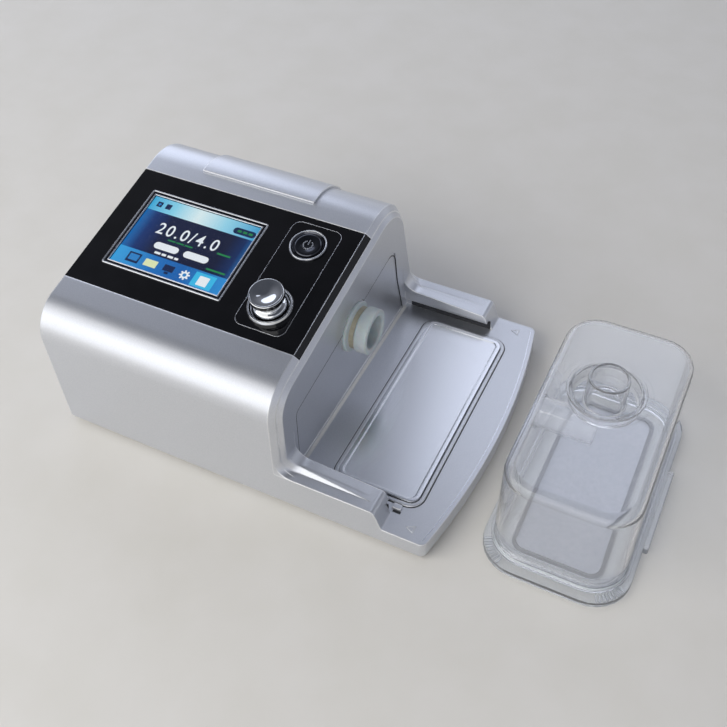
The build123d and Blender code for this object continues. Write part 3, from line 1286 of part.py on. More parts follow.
with BuildPart() as tank_cover:
    with BuildSketch(tank.offset(COVER_FOOT_Z)):
        RectangleRounded(TANK_X, TANK_Y, TANK_CORNER)
    extrude(amount=TANK_HEIGHT - COVER_FOOT_Z, taper=TANK_DRAFT)
    fillet(edges().group_by(Axis.Z)[-1], TANK_CROWN)
    with BuildSketch(tank.offset(COVER_FOOT_Z)):
        RectangleRounded(TANK_X + 2 * TANK_FOOT, TANK_Y + 2 * TANK_FOOT, TANK_CORNER + TANK_FOOT)
    extrude(amount=TANK_FOOT)
    add(tank_hollow.part, mode=Mode.SUBTRACT)
    # seat of the outlet fitting and hole of the inlet duct
    with BuildSketch(outlet_section):
        Rectangle(WELL_OUTER + SEAT, 2 * TANK_WALL, align=(Align.MIN, Align.CENTER))
    revolve(axis=outlet_axis, mode=Mode.SUBTRACT)
    with BuildSketch(duct_mouth):
        Circle(DUCT_OUTER + SEAT)
    extrude(amount=2 * TANK_WALL, both=True, mode=Mode.SUBTRACT)

with BuildPart() as outlet_fitting:
    with BuildSketch(outlet_section):
        Polygon(
            (OUTLET_RADIUS - OUTLET_WALL, -WELL_DEPTH - WELL_WALL),
            (WELL_OUTER, -WELL_DEPTH - WELL_WALL),
            (WELL_OUTER, 0),
            (WELL_OUTER + WELL_FLANGE, 0),
            (WELL_OUTER + WELL_FLANGE, WELL_FLANGE_THICKNESS),
            (WELL_RADIUS, WELL_FLANGE_THICKNESS),
            (WELL_RADIUS, -WELL_DEPTH),
            (OUTLET_RADIUS, -WELL_DEPTH),
            (OUTLET_RADIUS, OUTLET_RISE),
            (OUTLET_RADIUS - OUTLET_WALL, OUTLET_RISE),
            align=None,
        )
    revolve(axis=outlet_axis)

with BuildPart() as inlet_duct:
    with BuildSketch(duct_mouth):
        Circle(DUCT_OUTER)
    extrude(amount=DUCT_LENGTH)
    # collar against the inside of the wall
    with BuildSketch(duct_mouth.offset(TANK_WALL + FIT)):
        Circle(DUCT_OUTER + DUCT_COLLAR)
    extrude(amount=DUCT_WALL)
    with BuildSketch(duct_mouth):
        Circle(DUCT_RADIUS)
    extrude(amount=DUCT_LENGTH, mode=Mode.SUBTRACT)

# ---------------------------------------------------------------- write the pieces
pieces = {
    "top_housing": top_housing,
    "bay_rails": bay_rails,
    "bottom_housing": bottom_housing,
    "rubber_feet": rubber_feet,
    "housing_screws": housing_screws,
    "port_panel": port_panel,
    "outlet_seal": outlet_seal,
    "control_panel": control_panel,
    "screen_bezel": screen_bezel,
    "display_lens": display_lens,
    "display_module": display_module,
    "main_board": main_board,
    "power_switch": power_switch,
    "power_button_ring": power_button_ring,
    "power_button": power_button,
    "knob_ring": knob_ring,
    "knob": knob,
    "encoder_shaft": encoder_shaft,
    "encoder_rotor": encoder_rotor,
    "encoder_body": encoder_body,
    "heater_frame": heater_frame,
    "heater_plate": heater_plate,
    "heater_element": heater_element,
    "heater_springs": heater_springs,
    "blower_base": blower_base,
    "blower_lid": blower_lid,
    "impeller": impeller,
    "motor_stator": motor_stator,
    "motor_rotor": motor_rotor,
    "blower_mount": blower_mount,
    "air_duct": air_duct,
    "filter_cover": filter_cover,
    "air_filter": air_filter,
    "power_jack": power_jack,
    "tank_base": tank_base,
    "tank_gasket": tank_gasket,
    "tank_plate": tank_plate,
    "tank_cover": tank_cover,
    "outlet_fitting": outlet_fitting,
    "inlet_duct": inlet_duct,
}
for name, piece in pieces.items():
    piece.part.label = name
    export_step(piece.part, f"parts/{name}.step")
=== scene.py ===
"""Looks of the bedside breathing machine and its water tank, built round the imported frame.

Places are in millimetres from the machine's front left corner on the table: x along the machine,
y to the back, z up. `metres` turns them into the frame's own coordinates.
"""

import bmesh
import bpy
import numpy as np
from mathutils import Matrix, Vector


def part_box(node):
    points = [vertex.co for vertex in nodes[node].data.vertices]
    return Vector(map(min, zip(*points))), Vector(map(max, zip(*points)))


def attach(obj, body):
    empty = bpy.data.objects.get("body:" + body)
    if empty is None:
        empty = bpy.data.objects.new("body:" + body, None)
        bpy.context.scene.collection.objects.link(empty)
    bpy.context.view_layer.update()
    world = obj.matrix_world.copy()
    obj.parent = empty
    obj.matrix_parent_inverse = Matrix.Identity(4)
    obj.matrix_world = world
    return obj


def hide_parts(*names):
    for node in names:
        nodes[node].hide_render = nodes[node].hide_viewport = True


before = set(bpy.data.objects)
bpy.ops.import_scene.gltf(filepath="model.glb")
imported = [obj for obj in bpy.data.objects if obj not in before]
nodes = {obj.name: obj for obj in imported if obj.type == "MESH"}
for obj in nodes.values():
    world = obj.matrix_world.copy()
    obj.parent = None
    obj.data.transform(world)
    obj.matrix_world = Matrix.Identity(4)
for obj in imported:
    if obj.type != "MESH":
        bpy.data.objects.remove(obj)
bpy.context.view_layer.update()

scene = bpy.context.scene

# ---------------------------------------------------------------- places, in millimetres
DEPTH = 175.0                # front face to rear arm
DECK_Z = 14.3                # floor of the bay, and top of the lip
ARM_Z = 27.0                 # outer strip of each arm's top
FOOT_START = 15.6            # where the foot of the bay's wall starts behind the near arm
WALL_X = 148.8               # foot of the bay's wall
BAY_LEAN = np.radians(1.5)
PANEL_FRONT_Y, PANEL_FRONT_Z = 30.1, 93.1
PANEL_SLOPE = np.radians(10.6)
CONTROLS_X = 120.0           # line of the knob and the power button
PORT_X, PORT_Z = 150.46, 63.5
HEATER_X = 194.5
TANK_X, TANK_Y = 296.0, 85.0
INLET_Z = 47.2               # axis of the tank's inner tube
left_end, front_face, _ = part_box("top_housing")[0]
CORNER = np.array((left_end, front_face, 0.0)) * 1000
ACROSS = np.array((1.0, 0.0, 0.0))
BACK = np.array((0.0, 1.0, 0.0))
UP = np.array((0.0, 0.0, 1.0))


def seat(origin, first, second):
    """A working plane: its origin, two directions in it, and the direction out of it."""
    return np.array(origin, float), np.array(first), np.array(second), np.cross(first, second)


panel = seat((0, PANEL_FRONT_Y, PANEL_FRONT_Z), ACROSS, (0, np.cos(PANEL_SLOPE), np.sin(PANEL_SLOPE)))
ground = seat((0, 0, 0), ACROSS, BACK)
port = seat((PORT_X, DEPTH / 2, PORT_Z), BACK, UP)
tank = seat((TANK_X, TANK_Y, 0), ACROSS, BACK)


def moved(plane, first, second, out=0.0):
    """The same plane with its origin moved along its own three directions."""
    origin, one, two, normal = plane
    return origin + first * one + second * two + out * normal, one, two, normal


def placed(plane, points):
    """Points given along a plane's two directions and out of it, as machine millimetres."""
    origin, first, second, out = plane
    points = np.asarray(points, float)
    return origin + points[..., :1] * first + points[..., 1:2] * second + points[..., 2:3] * out


def metres(points):
    """Machine millimetres to the frame's metres."""
    return (np.asarray(points, float) + CORNER) / 1000


# ---------------------------------------------------------------- outlines
def rounded(corners, radii, steps=8):
    """Closed outline whose corners are tangent arcs: an arc's centre lies on the bisector, the radius
    divided by the sine of half the corner's angle away, and its points turn evenly about it."""
    corners = np.asarray(corners, float)
    radii = np.broadcast_to(np.asarray(radii, float), len(corners))
    share = np.linspace(0, 1, steps)[:, None]
    spots = []
    for corner, before, after, radius in zip(
        corners, np.roll(corners, 1, 0), np.roll(corners, -1, 0), radii
    ):
        if radius == 0:
            spots.append(corner[None])
            continue
        back = (before - corner) / np.linalg.norm(before - corner)
        ahead = (after - corner) / np.linalg.norm(after - corner)
        half = np.arccos(np.clip(back @ ahead, -1, 1)) / 2
        centre = corner + (back + ahead) / np.linalg.norm(back + ahead) * radius / np.sin(half)
        first = corner + back * radius / np.tan(half) - centre
        last = corner + ahead * radius / np.tan(half) - centre
        turn = np.pi - 2 * half
        arc = (np.sin((1 - share) * turn) * first + np.sin(share * turn) * last) / np.sin(turn)
        spots.append(centre + arc)
    return np.concatenate(spots)


def rounded_box(size_x, size_y, corner, steps=8, between=9):
    """Rounded rectangle about the origin, anticlockwise, with points spread evenly along its sides."""
    half_x, half_y = size_x / 2, size_y / 2
    box = ((-half_x, -half_y), (half_x, -half_y), (half_x, half_y), (-half_x, half_y))
    arcs = rounded(box, corner, steps).reshape(4, steps, 2)
    share = np.linspace(0, 1, between + 2)[1:-1, None]
    sides = arcs[:, None, -1] * (1 - share) + np.roll(arcs, -1, 0)[:, None, 0] * share
    return np.concatenate((arcs, sides), 1).reshape(-1, 2)


def grown(outline, by):
    """An outline moved outwards: each point goes square to the line between its two neighbours."""
    along = np.roll(outline, -1, 0) - np.roll(outline, 1, 0)
    along /= np.linalg.norm(along, axis=1, keepdims=True)
    return outline + by * np.column_stack((along[:, 1], -along[:, 0]))


def circle(radius, steps=64):
    """Points spread evenly round a circle about the origin."""
    angle = np.linspace(0, 2 * np.pi, steps, endpoint=False)
    return radius * np.column_stack((np.cos(angle), np.sin(angle)))


# ---------------------------------------------------------------- surfaces
def level(outline, height):
    """An outline in a plane's two directions, lifted out of it by a height."""
    return np.column_stack((outline, np.full(len(outline), float(height))))


def skin(rings, looped=False):
    """Faces over a stack of closed rings of equal counts: each quad joins two neighbours on one ring to
    the same two on the next. A looped stack joins its last ring to its first, and any other is capped."""
    rings = np.asarray(rings, float)
    rows, count = rings.shape[:2]
    index = np.arange(rows * count).reshape(rows, count)
    upper = np.roll(index, -1, 0) if looped else index[1:]
    lower = index if looped else index[:-1]
    quads = np.stack((lower, np.roll(lower, -1, 1), np.roll(upper, -1, 1), upper), -1).reshape(-1, 4)
    faces = quads.tolist()
    if not looped:
        faces += [index[0, ::-1].tolist(), index[-1].tolist()]
    return rings.reshape(-1, 3), faces


def turned(plane, profile, looped=False, steps=96):
    """A half profile of radius and height turned about a plane's normal: each profile point becomes a
    ring of that radius at that height."""
    profile = np.asarray(profile, float)
    angle = np.linspace(0, 2 * np.pi, steps, endpoint=False)
    radius, height = profile[:, :1], profile[:, 1:]
    rings = np.stack(
        (radius * np.cos(angle), radius * np.sin(angle), np.broadcast_to(height, (len(profile), steps))), -1
    )
    return skin(placed(plane, rings), looped)


def stacked(plane, outlines, heights, looped=False):
    """Outlines of equal counts lifted to their heights and joined into one closed form."""
    rings = np.stack([level(outline, height) for outline, height in zip(outlines, heights)])
    return skin(placed(plane, rings), looped)


def slab(plane, outline, low, high):
    """A flat outline with a thickness."""
    return stacked(plane, (outline, outline), (low, high))


def boxed(plane, size_x, size_y, corner, steps, looped=False, least_corner=0.0):
    """A rounded rectangle drawn in by each step's inset, at the step's height, and all joined."""
    outlines = [
        rounded_box(size_x - 2 * inset, size_y - 2 * inset, max(corner - inset, least_corner))
        for inset, _ in steps
    ]
    return stacked(plane, outlines, [height for _, height in steps], looped)


def volume(spots, sides):
    """Six times the volume inside closed faces: for each triangle of each face's fan, its first corner
    times the cross product of the other two, added up. It is negative where they face inwards."""
    return sum(spots[side[0]] @ np.cross(spots[side[1:-1]], spots[side[2:]]).sum(0) for side in sides)


def piece(name, parts, finish, body, stands_for=(), sharp=32.0):
    """One object from closed forms: they are merged, turned to face outwards by the sign of their
    volume, and shaded smooth except where faces meet at more than `sharp` degrees. A large face keeps
    its own direction, and its narrow neighbours take the turn."""
    points, faces = [], []
    for spots, sides in parts:
        start = sum(len(spots_before) for spots_before in points)
        order = 1 if volume(spots - spots.mean(0), sides) > 0 else -1
        faces += [[start + corner for corner in face[::order]] for face in sides]
        points.append(spots)
    mesh = bpy.data.meshes.new(name)
    mesh.from_pydata(metres(np.concatenate(points)).tolist(), [], faces)
    mesh.validate()
    mesh.shade_smooth()
    mesh.set_sharp_from_angle(angle=np.radians(sharp))
    mesh.materials.append(finish)
    made = bpy.data.objects.new(name, mesh)
    scene.collection.objects.link(made)
    made.modifiers.new("flat_faces", "WEIGHTED_NORMAL").keep_sharp = True
    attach(made, body)
    if stands_for:
        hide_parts(*stands_for)
    return made


# ---------------------------------------------------------------- finishes
def colour(code):
    """sRGB hex to linear red, green, blue and alpha."""
    srgb = np.array([int(code[place : place + 2], 16) for place in (1, 3, 5)]) / 255
    linear = np.where(srgb <= 0.04045, srgb / 12.92, ((srgb + 0.055) / 1.055) ** 2.4)
    return (*(float(part) for part in linear), 1.0)


def add_node(tree, kind, inputs=None, **settings):
    """Add one node with its settings; an input given as a socket is linked, any other is its value."""
    made = tree.nodes.new("ShaderNode" + kind)
    for key, value in settings.items():
        setattr(made, key, value)
    for key, value in (inputs or {}).items():
        if isinstance(value, bpy.types.NodeSocket):
            tree.links.new(value, made.inputs[key])
        else:
            made.inputs[key].default_value = value
    return made


def finish_of(name, **shader):
    """A material with one shader whose sockets are set by name, and its node tree to add to."""
    made = bpy.data.materials.new(name)
    made.use_nodes = True
    surface = made.node_tree.nodes["Principled BSDF"]
    for key, value in shader.items():
        surface.inputs[key.replace("_", " ")].default_value = value
    return made, made.node_tree, surface


SPECK_SPREAD = 0.35, 0.65    # noise values at which the two tones are pure
# Painted highlight: a lighter tone on edges that the rounded shading turns over
RUB_START, RUB_FULL = 0.995, 0.93    # cosines of the turn at which the painted edge highlight starts and is full
RUB_SHARE = 0.9
BUMP_SHARE = 0.4


def speckle(tree, surface, size, depth, tones, edge, bright_edge):
    """Fine unevenness of a surface: noise of one speck size in millimetres sets a colour between two
    tones, and a bump of a depth in millimetres. The tool's own edge radius rounds the corners' shading,
    and where that turns the surface, a painted edge highlight takes a third tone by the cosine of the turn."""
    place = add_node(tree, "TexCoord").outputs["Object"]
    grain = add_node(tree, "TexNoise", {"Vector": place, "Scale": 1000 / size, "Detail": 3.0})
    ramp = add_node(tree, "ValToRGB", {"Fac": grain.outputs["Fac"]})
    for stop, position, tone in zip(ramp.color_ramp.elements, SPECK_SPREAD, tones):
        stop.position, stop.color = position, colour(tone)
    corner = add_node(tree, "Bevel", {"Radius": edge / 1000}, samples=6)
    tone = ramp.outputs["Color"]
    if bright_edge:
        flat = add_node(tree, "NewGeometry").outputs["Normal"]
        cosine = add_node(
            tree, "VectorMath", {0: corner.outputs["Normal"], 1: flat}, operation="DOT_PRODUCT"
        ).outputs["Value"]
        limits = {"From Min": RUB_START, "From Max": RUB_FULL, "To Max": RUB_SHARE}
        rubbed = add_node(tree, "MapRange", {"Value": cosine, **limits})
        tone = add_node(
            tree, "Mix", {0: rubbed.outputs["Result"], 6: tone, 7: colour(bright_edge)}, data_type="RGBA"
        ).outputs[2]
    tree.links.new(tone, surface.inputs["Base Color"])
    bump = add_node(tree, "Bump", {
        "Height": grain.outputs["Fac"], "Strength": BUMP_SHARE, "Distance": depth / 1000,
        "Normal": corner.outputs["Normal"],
    })
    tree.links.new(bump.outputs["Normal"], surface.inputs["Normal"])


def moulded(name, tones, roughness, size=0.5, depth=0.01, edge=0.2, bright_edge=None, **shader):
    """A moulded plastic, rubber or paint with its specks."""
    made, tree, surface = finish_of(name, Roughness=roughness, **shader)
    speckle(tree, surface, size, depth, tones, edge, bright_edge)
    return made


def clear(name, tint, refraction, passed, shine=0.5):
    """A clear plastic, which bends what is seen through it and scatters what it doesn't pass. The lamps'
    light goes straight on through its thin walls, as it nearly does through real ones."""
    made, tree, surface = finish_of(
        name, Roughness=0.03, IOR=refraction, Transmission_Weight=passed, Specular_IOR_Level=shine
    )
    surface.inputs["Base Color"].default_value = colour(tint)
    passing = add_node(tree, "BsdfTransparent", {"Color": colour(tint)})
    shadow = add_node(tree, "LightPath").outputs["Is Shadow Ray"]
    both = add_node(tree, "MixShader", {0: shadow, 1: surface.outputs["BSDF"], 2: passing.outputs["BSDF"]})
    tree.links.new(both.outputs["Shader"], tree.nodes["Material Output"].inputs["Surface"])
    return made


# Injection-moulded ABS under silver paint: the metal flake gives a soft, cool sheen with broad
# highlights. The flake is some 0.05 mm, drawn at 0.4 mm so that it shows.
# Its edges take a painted white highlight where the shading turns over them.
silver_paint = moulded(
    "silver_painted_abs", ("#CDD0D6", "#D8DADF"), 0.36, size=0.4, depth=0.003, edge=1.0,
    bright_edge="#FFFFFF", Metallic=0.84, IOR=1.5,
)
# The same paint on the base pan, left duller by the tool's texture
grey_abs = moulded("grey_textured_abs", ("#9A9EA6", "#A8ACB3"), 0.5, size=0.8, depth=0.02, IOR=1.53)
# Polycarbonate cast black in a polished tool: dark, mirror-smooth, with faint wiping marks
gloss_black = moulded(
    "gloss_black_polycarbonate", ("#08080A", "#0D0D10"), 0.07, size=14, depth=0.001, edge=0.4, IOR=1.5
)
# Polished chromium over nickel on ABS: a near mirror, which shows the dark panel beside the bright room
chrome = moulded("polished_chrome_plate", ("#DCDEE1", "#E6E7E9"), 0.06, size=6, depth=0.0005, Metallic=1.0)
# Black chromium: the same plating, smoked
dark_chrome = moulded(
    "smoked_chrome_plate", ("#4A4C52", "#56585E"), 0.1, size=6, depth=0.0005, Metallic=1.0
)
# Rolled aluminium sheet, satin anodised: its fine grain blurs the room to a soft gradient
satin_aluminium = moulded(
    "satin_aluminium_sheet", ("#D6D8DD", "#DFE1E5"), 0.24, size=0.5, depth=0.0008, Metallic=1.0
)
# Rolled stainless steel, bright annealed
bright_steel = moulded(
    "bright_rolled_steel", ("#C6C8CD", "#D0D2D7"), 0.22, size=1.2, depth=0.001, Metallic=1.0
)
# Clear polycarbonate from a polished tool, with the faint blue that keeps it from looking yellow
clear_tank = clear("clear_polycarbonate", "#F3F4F6", 1.48, 0.94)
# The same plastic in the base, tinted a light grey, which dims the table seen through it
tinted_tank = clear("grey_tinted_polycarbonate", "#EAECEF", 1.5, 0.9)
# Acrylic window, polished, with a coat that takes more than half of its reflection
clear_lens = clear("coated_acrylic_window", "#FDFEFF", 1.49, 1.0, shine=0.2)
# Sheet steel, pickled grey, in the tank's floor: a dull metal
dull_steel = moulded(
    "pickled_sheet_steel", ("#BFC2CA", "#C8CAD1"), 0.5, size=2, depth=0.001, Metallic=0.6, IOR=1.5
)
# Liquid silicone rubber, cured without pigment: milky, light passes a few millimetres into it
milky_silicone = moulded(
    "milky_silicone_rubber", ("#B9C4C6", "#C3CDCD"), 0.36, size=6, depth=0.001,
    IOR=1.43, Subsurface_Weight=0.25, Subsurface_Scale=0.002,
)
# A thin ring round the nozzle's neck, in a tan darker than the milky rubber
amber_silicone = moulded(
    "amber_silicone_neck_tone", ("#A09A86", "#ADA793"), 0.4, size=3, depth=0.001, IOR=1.43
)
# The same rubber in thin seals, which stay nearly clear: a soft, pale sheen
clear_silicone = moulded("clear_silicone_seal", ("#DDE2E4", "#E8ECED"), 0.3, size=3, depth=0.004, IOR=1.43)
# Nylon, moulded black in an etched tool: matt, with a slight sheen. The same dark finish is painted
# shade in the bay's gaps, grooves and slot
dark_plastic = moulded("dark_nylon_and_painted_shade", ("#26272A", "#303135"), 0.45, size=0.7, depth=0.01, IOR=1.53)
# White ABS from a plain tool: even, half matt. The same white is a painted highlight along the foot of
# the bay's wall
white_plastic = moulded("white_abs_and_painted_highlight", ("#DADAD6", "#E8E8E4"), 0.4, size=0.7, depth=0.01, IOR=1.53)
# Moulded nitrile rubber: matt black, which greys where it is touched
black_rubber = moulded("black_nitrile_rubber", ("#17171A", "#202023"), 0.7, size=0.4, depth=0.02, IOR=1.52)
# Solder mask cured over copper: a green gloss
circuit_board = moulded("green_solder_mask", ("#0E4A2C", "#155C37"), 0.35, size=2, depth=0.02, IOR=1.55)
# Polyimide film over an etched foil: amber, shiny
heater_pad = moulded("orange_polyimide_film", ("#A5621E", "#B97429"), 0.3, size=4, depth=0.01, IOR=1.7)
# Open-cell polyurethane foam, cut from a block: light walls, with painted shade for the pores between them
filter_foam = moulded("grey_open_foam", ("#3E4145", "#8C9095"), 0.9, size=0.6, depth=0.4, IOR=1.5)
# Glass over a dark panel, rolled smooth: near black until it is lit
display_glass = moulded("dark_display_glass", ("#0B1222", "#101A30"), 0.2, size=5, depth=0.001, IOR=1.5)

for node, finish in {
    "top_housing": silver_paint,
    "bay_rails": silver_paint,
    "bottom_housing": grey_abs,
    "rubber_feet": black_rubber,
    "housing_screws": bright_steel,
    "port_panel": silver_paint,
    "outlet_seal": milky_silicone,
    "control_panel": gloss_black,
    "screen_bezel": dark_chrome,
    "display_lens": clear_lens,
    "display_module": display_glass,
    "main_board": circuit_board,
    "power_switch": dark_plastic,
    "power_button_ring": chrome,
    "power_button": dark_chrome,
    "knob_ring": chrome,
    "knob": chrome,
    "encoder_shaft": bright_steel,
    "encoder_rotor": dark_plastic,
    "encoder_body": dark_plastic,
    "heater_frame": silver_paint,
    "heater_plate": satin_aluminium,
    "heater_element": heater_pad,
    "heater_springs": bright_steel,
    "blower_base": white_plastic,
    "blower_lid": white_plastic,
    "impeller": white_plastic,
    "motor_stator": bright_steel,
    "motor_rotor": bright_steel,
    "blower_mount": clear_silicone,
    "air_duct": clear_silicone,
    "filter_cover": silver_paint,
    "air_filter": filter_foam,
    "power_jack": dark_plastic,
    "tank_base": clear_tank,
    "tank_gasket": clear_silicone,
    "tank_plate": dull_steel,
    "tank_cover": clear_tank,
    "outlet_fitting": clear_tank,
    "inlet_duct": clear_tank,
}.items():
    for place in nodes[node].material_slots:
        place.material = finish

# ---------------------------------------------------------------- housing and arms
def joined(first, *others):
    """One closed mesh of CAD solids that touch: a copy of each has its doubles merged, and a union takes
    away the faces where they meet."""
    copies = []
    for node in (first, *others):
        mesh = nodes[node].data.copy()
        work = bmesh.new()
        work.from_mesh(mesh)
        bmesh.ops.remove_doubles(work, verts=work.verts, dist=1e-6)
        work.to_mesh(mesh)
        work.free()
        copies.append(bpy.data.objects.new(node + "_copy", mesh))
        scene.collection.objects.link(copies[-1])
    for other in copies[1:]:
        union = copies[0].modifiers.new("union", "BOOLEAN")
        union.object, union.operation, union.solver = other, "UNION", "EXACT"
    whole = copies[0].evaluated_get(bpy.context.evaluated_depsgraph_get())
    mesh = bpy.data.meshes.new_from_object(whole)
    spots = np.empty(len(mesh.vertices) * 3)
    mesh.vertices.foreach_get("co", spots)
    faces = [list(face.vertices) for face in mesh.polygons]
    for copy in copies:
        bpy.data.objects.remove(copy)
    return spots.reshape(-1, 3) * 1000 - CORNER, faces


piece(
    "housing_moulding", [joined("top_housing", "bay_rails")], silver_paint, "machine",
    ("top_housing", "bay_rails"), sharp=28,
)

# Where the tall end's bevelled rim turns into the arms. Each line along the rim has its place across
# it and its height over the bay's wall, and the same over the arm's top, in shares of the raised strip.
RIM_TURN, RIM_TOP = 10.0, 52.0
STRIP_END_X, STRIP_RISE = 200.1, 3.2
RIM_SHORT = 0.6              # how far the rim stops before the strip's end
RIM_PROUD, RIM_SUNK = 0.06, 0.14    # over the housing, and under it at both ends
rim_lines = np.array((
    # y, height on the wall, y on the arm, share of the strip's rise
    (0.03, -5.5, 0.03, 0), (0.5, -5.02, 0.5, 0), (2.9, -2.55, 5.2, 0), (3.5, -2.4, 5.9, 0.02),
    (4.1, -1.85, 6.5, 0.14), (5.4, -0.5, 8.6, 0.86), (6.0, -0.08, 9.3, 0.98), (7.0, 0.0, 10.2, 1),
    (15.47, 0.0, 15.47, 1),
))


def rear_y(z):
    """The rear face's outline: upright, then round an arc of radius 20 to its lean of 15 degrees."""
    start, radius, lean = 26.37, 20.0, np.radians(15)
    rise = np.clip((z - start) / radius, 0, np.sin(lean))
    over_arc = np.maximum(z - start - radius * np.sin(lean), 0)
    return DEPTH - radius * (1 - np.sqrt(1 - rise**2)) - over_arc * np.tan(lean)


def arm_rim(far):
    """A profile carried down the wall, round a quarter turn and along the arm. On the wall a line's x is
    the leaning wall's plus its height; on the turn its x and z go round a circle that touches both runs;
    on the arm its z is the top's plus the strip's rise, which falls evenly to the strip's end. Across,
    it eases from its one place to its other by 3s^2 - 2s^3 of the share s of the turn. The form stands
    a hair proud of the housing and dips under its surface at both ends, by an exponential of the
    distance from them. Its back follows inside the housing, deepest in the middle of the turn."""
    y_wall, over_wall, y_arm, share = rim_lines.T[:, None]
    strip = (STRIP_END_X - (WALL_X + RIM_TURN)) / (STRIP_END_X - WALL_X) * STRIP_RISE
    foot_z = ARM_Z + share * strip
    foot_x = WALL_X + (foot_z + RIM_TURN) * np.tan(BAY_LEAN) + over_wall
    down = np.linspace(1, 0, 12)[:, None]
    turn = np.linspace(0, np.pi / 2, 14)[1:-1, None]
    along = np.linspace(0, 1, 16)[:, None]
    wall_z = foot_z + RIM_TURN + down * (RIM_TOP - foot_z - RIM_TURN)
    arm_x = foot_x + RIM_TURN + along * (STRIP_END_X - RIM_SHORT - foot_x - RIM_TURN)
    x = np.concatenate((
        WALL_X + wall_z * np.tan(BAY_LEAN) + over_wall, foot_x + RIM_TURN * (1 - np.cos(turn)), arm_x,
    ))
    z = np.concatenate((
        wall_z, foot_z + RIM_TURN * (1 - np.sin(turn)),
        ARM_Z + share * STRIP_RISE * (STRIP_END_X - arm_x) / (STRIP_END_X - WALL_X),
    ))
    angle = np.concatenate((0 * down, turn, 0 * along + np.pi / 2))
    eased = 3 * (angle * 2 / np.pi) ** 2 - 2 * (angle * 2 / np.pi) ** 3
    y = y_wall + eased * (y_arm - y_wall)
    stations = np.linspace(0, 1, len(angle))[:, None]
    ends = np.exp(-stations / 0.04) + np.exp(-(1 - stations) / 0.02)
    proud = RIM_PROUD - (RIM_PROUD + RIM_SUNK) * ends
    deep = 1.5 + 4.5 * np.sin(2 * angle)
    fronts, backs = (
        np.stack((x + out * np.cos(angle), 0 * x + y, z + out * np.sin(angle)), -1)
        for out in (proud, -deep)
    )
    rings = np.concatenate((fronts, backs[:, ::-1]), 1)
    if far:
        rings[..., 1] = rear_y(rings[..., 2]) - rings[..., 1]
    return skin(rings)


piece("arm_rims", [arm_rim(False), arm_rim(True)], silver_paint, "machine", sharp=50)

# Dark bead round the inset panel of the bay's wall: painted shade of the groove where the panel meets it
wall_seat = seat((WALL_X, 0, 0), BACK, (np.sin(BAY_LEAN), 0, np.cos(BAY_LEAN)))
port_outline = rounded(((19, 13), (157.3, 13), (147, 48), (141.5, 78), (19, 61.2)), (0.5, 0.5, 40, 11, 4))
bead_steps = ((-0.28, -0.6), (-0.28, -0.02), (-0.18, 0.06), (0.1, 0.06), (0.2, -0.02), (0.2, -0.6))
bead_outlines = [grown(port_outline, out) for out, _ in bead_steps]
piece(
    "port_panel_bead", [stacked(wall_seat, bead_outlines, [height for _, height in bead_steps], looped=True)],
    dark_plastic, "machine",
)

# ---------------------------------------------------------------- knob and power button
POLE = 0.02                  # radius at which a turned form closes
KNOB_ALONG, BUTTON_ALONG = 22.5, 66.53    # up the panel's slope from its front edge
knob_seat = moved(panel, CONTROLS_X, KNOB_ALONG)
button_seat = moved(panel, CONTROLS_X, BUTTON_ALONG)


def dished(radius, rim_height, depth, count=12):
    """Profile of a shallow dish from its rim to its middle: the height falls with the square of the
    sine of the share of the way in, so the rim and the middle are both level."""
    share = np.linspace(0, 1, count)
    height = rim_height - depth * np.sin(share * np.pi / 2) ** 2
    return np.column_stack((radius + (POLE - radius) * share, height))


knob_flank = rounded(
    (
        (3.05, 9.1), (3.05, 1.3), (9.3, 1.3), (8.9, 3.0), (6.6, 4.2), (6.6, 7.6), (9.6, 9.0), (9.6, 12.6),
        (8.7, 12.6),
    ),
    (0, 0, 0.5, 1.4, 1.2, 1.2, 0.9, 0.5, 0.2),
)
piece(
    "knob_cap", [turned(knob_seat, np.concatenate((((POLE, 9.1),), knob_flank, dished(8.5, 12.55, 1.2))))],
    chrome, "knob", ("knob",),
)
knob_collar = rounded(
    ((9.8, 0), (12.7, 0), (12.7, 1.5), (12.1, 2.8), (11.4, 2.8), (10.6, 1.3), (9.8, 0.9)),
    (0, 0, 0.6, 0.3, 0.3, 0.5, 0.2),
)
piece("knob_collar", [turned(knob_seat, knob_collar, looped=True)], chrome, "machine", ("knob_ring",))
button_collar = rounded(
    (
        (8.1, -3.0), (9.3, -3.0), (9.3, 0), (10.8, 0), (10.8, 0.6), (10.1, 1.2), (9.5, 1.2), (8.7, 0.3),
        (8.1, 0.3),
    ),
    (0, 0, 0, 0, 0.2, 0.2, 0.2, 0.2, 0.1),
)
piece(
    "button_collar", [turned(button_seat, button_collar, looped=True)], dark_chrome, "machine",
    ("power_button_ring",),
)
piece(
    "button_collar_bead", [turned(button_seat, circle(0.45, 14) + (10.1, 0.95), looped=True)],
    chrome, "machine",
)
button_flank = (
    (POLE, -9.7), (2.5, -9.7), (2.5, -4.3), (9.3, -4.3), (9.3, -3.1), (7.8, -3.1), (7.8, 0.9), (7.5, 1.3),
)
piece(
    "button_cap", [turned(button_seat, np.concatenate((button_flank, dished(7.1, 1.5, 0.7))))],
    dark_chrome, "power_button", ("power_button",),
)


def arc_band(radius, width, first, last, count=40):
    """Flat outline of a band along a circle, from one angle to another in degrees."""
    angle = np.radians(np.linspace(first, last, count))
    ray = np.column_stack((np.cos(angle), np.sin(angle)))
    return np.concatenate(((radius - width / 2) * ray, (radius + width / 2) * ray[::-1]))


def bar(x, y, size_x, size_y, corner=0.25):
    """Flat outline of a rounded bar about a place."""
    return rounded(
        np.array(((-1, -1), (1, -1), (1, 1), (-1, 1))) * (size_x / 2, size_y / 2) + (x, y), corner, 5
    )


